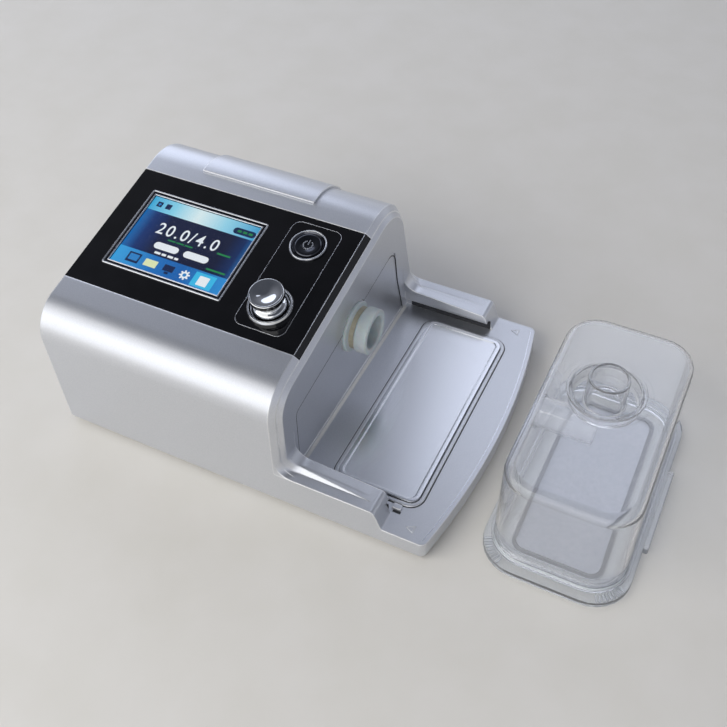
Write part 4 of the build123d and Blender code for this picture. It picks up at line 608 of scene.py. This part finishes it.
SYMBOL_LOW, SYMBOL_HIGH = 0.7, 1.15    # over the panel; the low one lies inside the cap
SYMBOL_RADIUS, SYMBOL_LINE = 2.7, 0.6
SYMBOL_GAP = 64              # in degrees, at the top of its ring
symbol_ring = arc_band(SYMBOL_RADIUS, SYMBOL_LINE, 90 + SYMBOL_GAP / 2, 450 - SYMBOL_GAP / 2)
piece(
    "power_symbol",
    [
        slab(button_seat, symbol_ring, SYMBOL_LOW, SYMBOL_HIGH),
        slab(button_seat, bar(0, 1.9, SYMBOL_LINE, 3.2), SYMBOL_LOW, SYMBOL_HIGH),
    ],
    chrome, "power_button",
)

# ---------------------------------------------------------------- screen
SCREEN_X, SCREEN_ALONG = 53.4, 43.92
SCREEN_FRAME = 78.0, 57.0, 1.6    # its outer size and corner
screen_seat = moved(panel, SCREEN_X, SCREEN_ALONG)
bezel_section = (
    (0.1, 0.0), (0.6, 0.45), (2.8, 0.45), (3.3, 0.2), (3.4, -0.5), (2.4, -0.5), (2.4, -3.0), (1.4, -3.0),
    (1.4, 0.0),
)


def frame_ring(section):
    """A section of inset and height carried round the screen frame's rounded rectangle."""
    return boxed(screen_seat, *SCREEN_FRAME, section, looped=True, least_corner=0.25)


def bead(inset, height, radius, count=10):
    """Section of a round bead at an inset and a height."""
    return circle(radius, count) + (inset, height)


piece("screen_frame", [frame_ring(bezel_section)], dark_chrome, "machine", ("screen_bezel",), sharp=40)
piece(
    "screen_frame_beads",
    [frame_ring(bead(0.55, 0.35, 0.5)), frame_ring(bead(2.95, 0.3, 0.38))],
    chrome, "machine",
)

# The picture lies on the display, under the window. Its marks are placed in shares of the lit area.
LIT = np.array((71.2, 50.2))
picture = moved(screen_seat, *(-LIT / 2))
PICTURE_Z, MARK_Z, UPPER_MARK_Z = -1.8, -1.78, -1.76


def glowing(name, stops, strength=0.9):
    """A lit colour on the screen that changes from left to right: the distance along the lit area picks
    it from the stops, it shines with it, and reflects almost nothing."""
    made, tree, surface = finish_of(name, Roughness=0.6, Specular_IOR_Level=0.1, Emission_Strength=strength)
    surface.inputs["Base Color"].default_value = colour("#020204")
    place = add_node(tree, "SeparateXYZ", {"Vector": add_node(tree, "TexCoord").outputs["Object"]})
    left, right = metres(placed(picture, ((0, 0, 0), (LIT[0], 0, 0))))[:, 0]
    share = add_node(tree, "MapRange", {"Value": place.outputs["X"], "From Min": left, "From Max": right})
    ramp = add_node(tree, "ValToRGB", {"Fac": share.outputs["Result"]})
    for _ in stops[2:]:
        ramp.color_ramp.elements.new(0.5)
    for stop, (position, code) in zip(ramp.color_ramp.elements, stops):
        stop.position, stop.color = position, colour(code)
    tree.links.new(ramp.outputs["Color"], surface.inputs["Emission Color"])
    return made


def plain_glow(name, code):
    """A lit colour that is the same all over."""
    return glowing(name, ((0, code), (1, code)))


def marks(name, outlines, finish, low, high):
    """Flat marks of one colour on the screen."""
    flat = [slab(picture, outline, low, high) for outline in outlines]
    piece(name, flat, finish, "machine")


def lit_bar(x, y, size_x, size_y, corner=0.3):
    """A bar on the screen, with its centre and size in shares of the lit area."""
    return bar(x * LIT[0], y * LIT[1], size_x * LIT[0], size_y * LIT[1], corner)


HEADER_SHARE, FOOTER_SHARE, EDGE_SHARE = 0.815, 0.245, 0.01
for name, low_share, high_share, stops in (
    ("screen_header", HEADER_SHARE, 1 + EDGE_SHARE,
     ((0.0, "#45B4E4"), (0.22, "#8FDCF5"), (0.45, "#E6FAFD"), (0.7, "#9BDDF4"), (1.0, "#3FA3D6"))),
    ("screen_field", FOOTER_SHARE, HEADER_SHARE,
     ((0.0, "#1C6CB4"), (0.1, "#0A3272"), (0.26, "#04133C"), (0.82, "#030F34"), (0.94, "#082A5E"),
      (1.0, "#145A9A"))),
    ("screen_footer", -EDGE_SHARE, FOOTER_SHARE,
     ((0.0, "#3CA8E8"), (0.35, "#1A74C4"), (0.6, "#1263B2"), (1.0, "#2F93DC"))),
):
    band = lit_bar(0.5, (low_share + high_share) / 2, 1 + 2 * EDGE_SHARE, high_share - low_share, 0.01)
    marks(name, [band], glowing(name + "_light", stops), PICTURE_Z, MARK_Z)

white_light = plain_glow("white_light", "#F4FAFF")
navy_light = plain_glow("navy_light", "#0A2350")
green_light = plain_glow("green_light", "#1F8A4C")
# A gear whose radius swings eight times a turn, its teeth squared off by a hyperbolic tangent
gear_place = np.array((0.646, 0.125)) * LIT
gear_angle = np.linspace(0, 2 * np.pi, 96, endpoint=False)
gear_radius = 2.75 + 0.55 * np.tanh(4 * np.sin(8 * gear_angle))
gear = gear_radius[:, None] * np.column_stack((np.cos(gear_angle), np.sin(gear_angle))) + gear_place
marks(
    "screen_highlight", [lit_bar(0.815, 0.125, 0.185, 0.19)], plain_glow("cyan_light", "#3CC0F0"),
    MARK_Z, UPPER_MARK_Z,
)
marks(
    "screen_card", [lit_bar(0.328, 0.13, 0.115, 0.095)], plain_glow("cream_light", "#E9F2BE"),
    MARK_Z, UPPER_MARK_Z,
)
words = (0.325, 0.055), (0.385, 0.04), (0.445, 0.05), (0.5, 0.035)    # places and lengths
marks(
    "screen_white_marks",
    [
        lit_bar(0.365, 0.383, 0.225, 0.092, 2.2), lit_bar(0.64, 0.385, 0.225, 0.092, 2.2), gear,
        *(lit_bar(x, 0.285, length, 0.03, 0.2) for x, length in words),
    ],
    white_light, MARK_Z, UPPER_MARK_Z,
)
marks(
    "screen_navy_marks",
    [
        lit_bar(0.165, 0.135, 0.115, 0.135), lit_bar(0.494, 0.14, 0.095, 0.085),
        lit_bar(0.494, 0.075, 0.035, 0.03, 0.1), *(lit_bar(x, 0.915, 0.05, 0.075) for x in (0.07, 0.155)),
        lit_bar(0.885, 0.887, 0.2, 0.088, 2.0),
    ],
    navy_light, MARK_Z, UPPER_MARK_Z,
)
LAST_MARK_Z = UPPER_MARK_Z + 0.02
marks("screen_document", [lit_bar(0.815, 0.12, 0.09, 0.125)], white_light, MARK_Z, LAST_MARK_Z)
marks(
    "screen_green_marks",
    [
        *(lit_bar(x, 0.887, 0.035, 0.03, 0.2) for x in (0.84, 0.89, 0.94)),
        *(lit_bar(x, 0.488, 0.07, 0.018, 0.1) for x in (0.37, 0.45, 0.53)),
        lit_bar(0.84, 0.52, 0.12, 0.022, 0.1), lit_bar(0.86, 0.29, 0.17, 0.022, 0.1),
    ],
    green_light, MARK_Z, LAST_MARK_Z,
)
marks(
    "screen_icon_details",
    [
        lit_bar(0.165, 0.14, 0.085, 0.085), circle(1.15, 24) + gear_place,
        lit_bar(0.07, 0.915, 0.03, 0.012, 0.05), lit_bar(0.07, 0.915, 0.0085, 0.043, 0.05),
    ],
    plain_glow("blue_light", "#2B86CE"), MARK_Z, LAST_MARK_Z,
)


def numerals(name, words, low_x, high_x, low_y, high_y, finish):
    """Figures on the screen, stretched to fill a rectangle given in shares of the lit area."""
    curve = bpy.data.curves.new(name, "FONT")
    curve.body, curve.extrude, curve.offset, curve.space_character = words, 0.01, 0.008, 1.25
    typed = bpy.data.objects.new(name, curve)
    mesh = bpy.data.meshes.new_from_object(typed)
    bpy.data.objects.remove(typed)
    spots = np.empty(len(mesh.vertices) * 3)
    mesh.vertices.foreach_get("co", spots)
    spots = spots.reshape(-1, 3)
    share = (spots - spots.min(0)) / (spots.max(0) - spots.min(0))
    faces = [list(face.vertices) for face in mesh.polygons]
    low = np.array((low_x * LIT[0], low_y * LIT[1], MARK_Z))
    high = np.array((high_x * LIT[0], high_y * LIT[1], UPPER_MARK_Z))
    piece(name, [(placed(picture, low + share * (high - low)), faces)], finish, "machine")


numerals("screen_figures", "20.0/4.0", 0.19, 0.755, 0.53, 0.69, white_light)

# Fine polished line that frames the controls on the panel
LINE_WIDTH, LINE_HEIGHT = 0.34, 0.12
LINE_ALONG = 44.0            # its middle, up the panel's slope
LINE_FRAME = 30, 74, 5       # its inner size and corner
line_steps = ((0, 0), (-LINE_WIDTH * 0.3, LINE_HEIGHT), (-LINE_WIDTH * 0.7, LINE_HEIGHT), (-LINE_WIDTH, 0))
piece(
    "panel_line", [boxed(moved(panel, CONTROLS_X, LINE_ALONG), *LINE_FRAME, line_steps, looped=True)],
    chrome, "machine",
)

# Polished line along the panel's right edge, sunk by half of its radius
EDGE_X, EDGE_RADIUS, EDGE_SUNK = 145.95, 0.22, 0.12
EDGE_START, EDGE_END = 0.4, 87.6    # up the panel's slope
along_panel = (panel[0], ACROSS, panel[3], -panel[2])
edge_circle = circle(EDGE_RADIUS, 10) + (EDGE_X, -EDGE_SUNK)
piece(
    "panel_edge_line", [slab(along_panel, edge_circle, -EDGE_END, -EDGE_START)],
    chrome, "machine",
)

# ---------------------------------------------------------------- nozzle on the bay wall
nozzle = rounded(
    (
        (10.45, 0), (15.0, 0), (15.0, 1.8), (12.3, 2.5), (11.8, 5.3), (13.5, 6.2), (13.5, 13.5), (9.8, 13.5),
        (9.8, 6.1), (10.45, 6.1),
    ),
    (0, 0.3, 0.8, 0.8, 0.8, 0.9, 1.5, 1.4, 0, 0),
)
neck = rounded(((11.3, 2.2), (12.5, 2.6), (12.2, 5.2), (11.3, 5.6)), 0.1, 3)
piece("nozzle_neck", [turned(port, neck, looped=True)], amber_silicone, "machine")
piece("silicone_nozzle", [turned(port, nozzle, looped=True)], milky_silicone, "machine", ("outlet_seal",))

# ---------------------------------------------------------------- heater
heater = moved(ground, HEATER_X, DEPTH / 2)
FRAME_X, FRAME_Y, FRAME_CORNER = 54.2, 137.2, 8.6
plate_steps = (
    (0.0, 14.8), (0.0, 15.95), (0.12, 16.2), (0.35, 16.3), (2.2, 16.3), (2.45, 16.25), (2.8, 15.85),
    (3.05, 15.8),
)
piece(
    "heater_plate_pressed", [boxed(heater, 49, 132, 5.7, plate_steps, least_corner=2.6)],
    satin_aluminium, "heater_plate", ("heater_plate",),
)
frame_steps = (
    (-2.0, 9.9), (-2.0, 11.9), (0.0, 11.9), (0.0, 14.75), (0.12, 15.0), (0.4, 15.1), (2.0, 15.1),
    (2.22, 15.0), (2.3, 14.8), (2.3, 12.95), (4.3, 12.95), (4.3, 9.9),
)
piece(
    "heater_frame_moulded", [boxed(heater, FRAME_X, FRAME_Y, FRAME_CORNER, frame_steps, looped=True)],
    silver_paint, "machine", ("heater_frame",),
)

# Dark strip between the heater's frame and the deck: painted shade of the gap between them
GAP_WIDTH = 0.6
gap_low, gap_high = DECK_Z - 0.4, DECK_Z + 0.05
gap_steps = ((0, gap_low), (0, gap_high), (-GAP_WIDTH, gap_high), (-GAP_WIDTH, gap_low))
piece(
    "heater_gap_shade", [boxed(heater, FRAME_X, FRAME_Y, FRAME_CORNER, gap_steps, looped=True)],
    dark_plastic, "machine",
)

# Stop for the tank's flange behind the near arm's end, over a dark strip flush with the deck that
# paints the shade of a slot
piece(
    "arm_stop", [slab(ground, bar(210.2, 16.4, 5.2, 3.2, 0.5), DECK_Z - 0.2, DECK_Z + 1.6)],
    silver_paint, "machine",
)
piece(
    "arm_slot_shade", [slab(ground, bar(211.0, 13.9, 4.6, 1.7, 0.2), DECK_Z - 0.2, DECK_Z + 0.05)],
    dark_plastic, "machine",
)

# Fillet strip along the foot of the bay's wall, white as a painted highlight, and dark strips in the
# grooves of both arms, painted shade in them
FOOT_LEG = 1.5
foot_section = (
    (-0.5, -0.5), (FOOT_LEG, -0.5), (FOOT_LEG, 0.02), (0.85, 0.3), (0.3, 0.85), (0.02, FOOT_LEG),
    (-0.5, FOOT_LEG),
)
bay_foot = seat((WALL_X + DECK_Z * np.tan(BAY_LEAN), FOOT_START, DECK_Z), UP, ACROSS)
# White: a painted highlight along the wall's foot
piece(
    "bay_foot_fillet", [slab(bay_foot, np.array(foot_section)[:, ::-1], 0, DEPTH - 2 * FOOT_START)],
    white_plastic, "machine",
)
# Painted shade in the arms' grooves: thin dark strips
SLIDE_X, SLIDE_Y, SLIDE_LENGTH, SLIDE_THICKNESS = 180.0, 12.25, 54.0, 0.4
SLIDE_LOW, SLIDE_HIGH = 14.5, 21.0
slides = [bar(SLIDE_X, y, SLIDE_LENGTH, SLIDE_THICKNESS, 0.1) for y in (SLIDE_Y, DEPTH - SLIDE_Y)]
piece(
    "rail_groove_shades", [slab(ground, groove_shade, SLIDE_LOW, SLIDE_HIGH) for groove_shade in slides],
    dark_plastic, "machine",
)


def lip_x(inset, y):
    """The lip's curved edge, drawn in by an inset: a circle through its two corners and its middle, whose
    radius is half the chord squared and the bulge squared, added and divided by twice the bulge."""
    bulge, half_chord, farthest = 9.6, DEPTH / 2, 242.4
    radius = (half_chord**2 + bulge**2) / (2 * bulge)
    return farthest - radius + np.sqrt((radius - inset) ** 2 - (y - half_chord) ** 2)


def lip_line(inset, width, low_y, high_y, count=60):
    """Flat outline of a band that follows the lip's edge."""
    y = np.linspace(low_y, high_y, count)
    outer, inner = (np.column_stack((lip_x(inset + shift, y), y)) for shift in (0, width))
    return np.concatenate((outer, inner[::-1]))


def hollow_arrow(x, y, size=5.4, width=0.7):
    """The outer and the inner outline of a hollow triangle that points along -x."""
    corners = np.array(((-0.55, 0.0), (0.45, -0.5), (0.45, 0.5)))
    return [rounded(corners * scale + (x, y), 0.3, 6) for scale in (size, size - 3.2 * width)]


LIP_INSET, LIP_WIDTH, LIP_MARGIN = 2.3, 0.5, 3.0
lip_band = lip_line(LIP_INSET, LIP_WIDTH, LIP_MARGIN, DEPTH - LIP_MARGIN)
piece(
    "lip_line", [slab(ground, lip_band, DECK_Z - 0.1, DECK_Z + 0.12)],
    satin_aluminium, "machine",
)
ARROW_X, ARROW_EDGE = 222.0, 7.5    # place along, and distance from either end of the lip
arrow_heights = (DECK_Z - 0.1, DECK_Z + 0.15, DECK_Z + 0.15, DECK_Z - 0.1)
arrows = []
for y in (ARROW_EDGE, DEPTH - ARROW_EDGE):
    outer, inner = hollow_arrow(ARROW_X, y)
    arrows.append(stacked(ground, (outer, outer, inner, inner), arrow_heights, looped=True))
piece("lip_arrows", arrows, silver_paint, "machine", sharp=30)

# ---------------------------------------------------------------- water tank
DRAFT = np.tan(np.radians(1.0))
COVER_X, COVER_Y, COVER_CORNER = 73.0, 134.0, 20.0
COVER_FOOT_Z, CROWN_Z, COVER_TOP_Z = 4.7, 60, 66
COVER_WALL = 2.0


def tank_ring(inset, height, size=(COVER_X, COVER_Y), corner=COVER_CORNER):
    """One level of the tank's rounded plan, drawn in by an inset: outline and height."""
    return rounded_box(size[0] - 2 * inset, size[1] - 2 * inset, corner - inset), height


def tank_shell(levels):
    """A closed ring of the tank from its levels, each an outline and a height."""
    return stacked(tank, [outline for outline, _ in levels], [height for _, height in levels], looped=True)


def drawn_in(height):
    """How far the drafted wall has come in at a height above the cover's foot."""
    return (height - COVER_FOOT_Z) * DRAFT


def crown_ring(turn, wall, radius):
    """The cover's wall where it rounds over into its top, at a turn of its arc."""
    return tank_ring(wall + drawn_in(CROWN_Z) + radius * (1 - np.cos(turn)), CROWN_Z + radius * np.sin(turn))


CROWN_RADIUS = COVER_TOP_Z - CROWN_Z
crown = np.radians(np.linspace(0, 90, 9))
cover_levels = [
    tank_ring(-1.6, COVER_FOOT_Z), tank_ring(-1.6, 6.0), tank_ring(-1.3, 6.3), tank_ring(-0.2, 6.4),
    tank_ring(0.05, 6.9), *(crown_ring(turn, 0, CROWN_RADIUS) for turn in crown),
]
# The top runs on into the round well and the hose tube, whose section is turned about its own axis:
# each of the section's points becomes a circle on which every outline point keeps its direction.
well_axis = np.array((-2.5, 13.0))
outward = cover_levels[-1][0] - well_axis
outward /= np.linalg.norm(outward, axis=1, keepdims=True)
well_section = rounded(
    (
        (24.5, 0), (21.2, 0), (21.2, 0.8), (18, 0.8), (18, -8), (11, -8), (11, 10), (9.2, 10), (9.2, -9.6),
        (19.6, -9.6), (19.6, -2), (24.5, -2),
    ),
    (0.1, 0.3, 0.5, 0.8, 1.6, 1.2, 0.7, 0.7, 0.5, 1.8, 0.8, 0.1),
)
cover_levels += [(well_axis + radius * outward, COVER_TOP_Z + rise) for radius, rise in well_section]
cover_levels += [
    *(crown_ring(turn, COVER_WALL, CROWN_RADIUS - COVER_WALL) for turn in crown[::-1]),
    tank_ring(COVER_WALL, COVER_FOOT_Z),
]
piece(
    "tank_cover_shell", [tank_shell(cover_levels)], clear_tank, "tank_cover", ("tank_cover", "outlet_fitting")
)
duct = seat((TANK_X - COVER_X / 2 + drawn_in(INLET_Z), TANK_Y, INLET_Z), BACK, UP)
duct_section = rounded(
    ((7.5, 0), (8.9, 0), (8.9, 2.3), (10.1, 2.3), (10.1, 3.7), (8.9, 3.7), (8.9, 34), (7.5, 34)),
    (0.2, 0.2, 0.2, 0.3, 0.3, 0.2, 0.5, 0.5),
)
piece("tank_inlet", [turned(duct, duct_section, looped=True)], clear_tank, "tank_cover", ("inlet_duct",))

flange_steps = ((0.4, 0), (0, 0.4), (0, 3.1), (0.25, 3.75), (0.9, 4))
tray_steps = (
    (-0.1, 4.0), (-0.1, 3.3), (2.1, 3.3), (2.1, 4.0), (2.3, 4.0), (2.3, 7.2), (2.5, 7.4), (3.6, 7.4),
    (3.8, 7.2), (3.8, 3.3), (4.4, 2.8),
)
# Each a size and a corner: the flange, the window over the heat plate, and the recess that holds it
FLANGE, WINDOW, RECESS = ((81, 148), 22), ((46, 111), 5.5), ((51.2, 116.2), 8)
base_levels = [
    *(tank_ring(inset, height, *FLANGE) for inset, height in flange_steps),
    *(tank_ring(inset, height) for inset, height in tray_steps),
    tank_ring(0, 2.8, *WINDOW), tank_ring(0, 1.2, *WINDOW),
    tank_ring(0, 1.2, *RECESS), tank_ring(0, 0.0, *RECESS),
]
# Finger ledge along the flange's right edge
LEDGE_X, LEDGE_Y, LEDGE_WIDTH, LEDGE_LENGTH, LEDGE_CORNER = 41.5, -4.5, 3, 55, 0.9
ledge_steps = ((0.3, 2.0), (0, 2.4), (0, 6.5), (0.4, 7.0))
ledge = [
    bar(LEDGE_X, LEDGE_Y, LEDGE_WIDTH - 2 * inset, LEDGE_LENGTH - 2 * inset, LEDGE_CORNER - inset)
    for inset, _ in ledge_steps
]
piece(
    "tank_tray", [tank_shell(base_levels), stacked(tank, ledge, [height for _, height in ledge_steps])],
    tinted_tank, "tank", ("tank_base",),
)
# Gripping ribs across both front corners of the flange: each stands on the line that turns about the
# corner's centre
FLANGE_CORNER = np.array((18.5, 52.0))
RIB_START, RIB_END, RIB_HALF = 16.9, 21.5, 0.45    # from the corner's centre, and half of its width


def grip_rib(side, turn):
    """A short raised rib that points to the flange corner's centre, at a turn in degrees from the front."""
    angle = np.radians(turn)
    ray, across = np.array((np.sin(angle), -np.cos(angle))), np.array((np.cos(angle), np.sin(angle)))
    strip = np.array((
        (RIB_START, -RIB_HALF), (RIB_END, -RIB_HALF), (RIB_END, RIB_HALF), (RIB_START, RIB_HALF),
    ))
    spots = strip[:, :1] * ray + strip[:, 1:] * across + FLANGE_CORNER * (1, -1)
    return rounded(spots * (side, 1), 0.3, 5)


piece(
    "tank_grip_ribs",
    [slab(tank, grip_rib(side, turn), 3.9, 5.0) for side in (-1, 1) for turn in np.arange(24, 70, 5.5)],
    tinted_tank, "tank",
)
piece(
    "tank_heat_plate", [boxed(tank, 51, 116, 8, ((0.2, 0), (0, 0.2), (0, 1.0), (0.2, 1.2)))],
    dull_steel, "tank", ("tank_plate",),
)
seal_steps = ((0.1, 3.3), (0, 3.4), (0, 4.5), (0.3, 4.7), (1.7, 4.7), (2.0, 4.5), (2.0, 3.4), (1.9, 3.3))
piece(
    "tank_seal", [boxed(tank, COVER_X, COVER_Y, COVER_CORNER, seal_steps, looped=True)],
    clear_silicone, "tank", ("tank_gasket",),
)

# ---------------------------------------------------------------- floor, light and camera
FLOOR_Z = -0.0002            # in metres, so that the clear tray doesn't share its face
FLOOR_REACH = 4              # in metres
floor_mesh = bpy.data.meshes.new("floor")
floor_corners = [(x * FLOOR_REACH, y * FLOOR_REACH, FLOOR_Z) for x, y in ((-1, -1), (1, -1), (1, 1), (-1, 1))]
floor_mesh.from_pydata(floor_corners, [], [(0, 1, 2, 3)])
floor = bpy.data.objects.new("floor", floor_mesh)
scene.collection.objects.link(floor)
# Seamless paper, matt, with a faint mottle of its fibres
floor_mesh.materials.append(
    moulded("matt_studio_paper", ("#DEDBD4", "#E1DED8"), 0.8, size=40, depth=0.001, IOR=1.45)
)

world = bpy.data.worlds.new("studio")
scene.world = world
world.use_nodes = True
# A pale room that darkens towards its ceiling, so that bright metal has something to show
room = world.node_tree
direction = add_node(room, "SeparateXYZ", {"Vector": add_node(room, "TexCoord").outputs["Generated"]})
shade = add_node(room, "ValToRGB", {"Fac": direction.outputs["Z"]})
room_stops = (0.0, "#E6E9F0"), (0.35, "#B4B7C2"), (0.9, "#4E5159")
shade.color_ramp.elements.new(room_stops[1][0])
for stop, (position, code) in zip(shade.color_ramp.elements, room_stops):
    stop.position, stop.color = position, colour(code)
room.links.new(shade.outputs["Color"], room.nodes["Background"].inputs["Color"])


def softbox(name, place, target, size_x, size_y, power, tint):
    """A rectangular lamp at a place in metres, turned to face a target."""
    lamp = bpy.data.lights.new(name, "AREA")
    lamp.shape, lamp.size, lamp.size_y, lamp.energy = "RECTANGLE", size_x, size_y, power
    lamp.color = colour(tint)[:3]
    made = bpy.data.objects.new(name, lamp)
    scene.collection.objects.link(made)
    made.location = place
    made.rotation_euler = (Vector(target) - Vector(place)).to_track_quat("-Z", "Y").to_euler()
    return made


# The key lights the matt colours alone. Metal shows the broad, dim front lamp in its place, with a low
# strip that brightens the middle of its reflection. Powers are in watts.
key = softbox("key_softbox", (-0.7, -0.95, 1.1), (0, 0, 0), 1.2, 0.9, 9.6, "#FFFDF8")
key.visible_glossy = False
softbox("front_softbox", (-0.4, -1.33, 0.74), (0, 0, 0.06), 3.2, 1.75, 17.5, "#FFFDF8")
softbox("edge_strip", (-0.5, -1.2, 0.68), (0, 0, 0.06), 2.8, 0.4, 1.8, "#FFFFFF")
softbox("rear_softbox", (0.02, 1.02, 1.23), (0, 0, 0.05), 0.77, 0.75, 2.3, "#E9EFFF")
softbox("side_softbox", (-1.12, 0.93, 0.8), (0, 0, 0.08), 1.1, 1.0, 4.6, "#E4ECFF")

# The lens takes in 41.5 degrees, and the camera is rolled by 2.4 degrees
FOCAL_PIXELS, FRAME_PIXELS, SENSOR = 958.18, 727, 36.0
YAW, PITCH, ROLL = 0.4878, 0.8349, -0.0418    # in radians
EYE = metres((332.58, -246.29, 451.11))
forward = np.array((-np.sin(YAW) * np.cos(PITCH), np.cos(YAW) * np.cos(PITCH), -np.sin(PITCH)))
right = np.array((np.cos(YAW), np.sin(YAW), 0.0))
upward = np.cross(right, forward)
tilted_right = np.cos(ROLL) * right + np.sin(ROLL) * upward
tilted_up = -np.sin(ROLL) * right + np.cos(ROLL) * upward
lens = bpy.data.cameras.new("camera")
lens.lens, lens.sensor_width = SENSOR * FOCAL_PIXELS / FRAME_PIXELS, SENSOR
lens.clip_start = 0.01
camera = bpy.data.objects.new("camera", lens)
scene.collection.objects.link(camera)
turns = np.column_stack((tilted_right, tilted_up, -forward)).tolist()
camera.matrix_world = Matrix([[*row, place] for row, place in zip(turns, EYE)] + [[0, 0, 0, 1]])
scene.camera = camera

scene.view_settings.view_transform = "Standard"
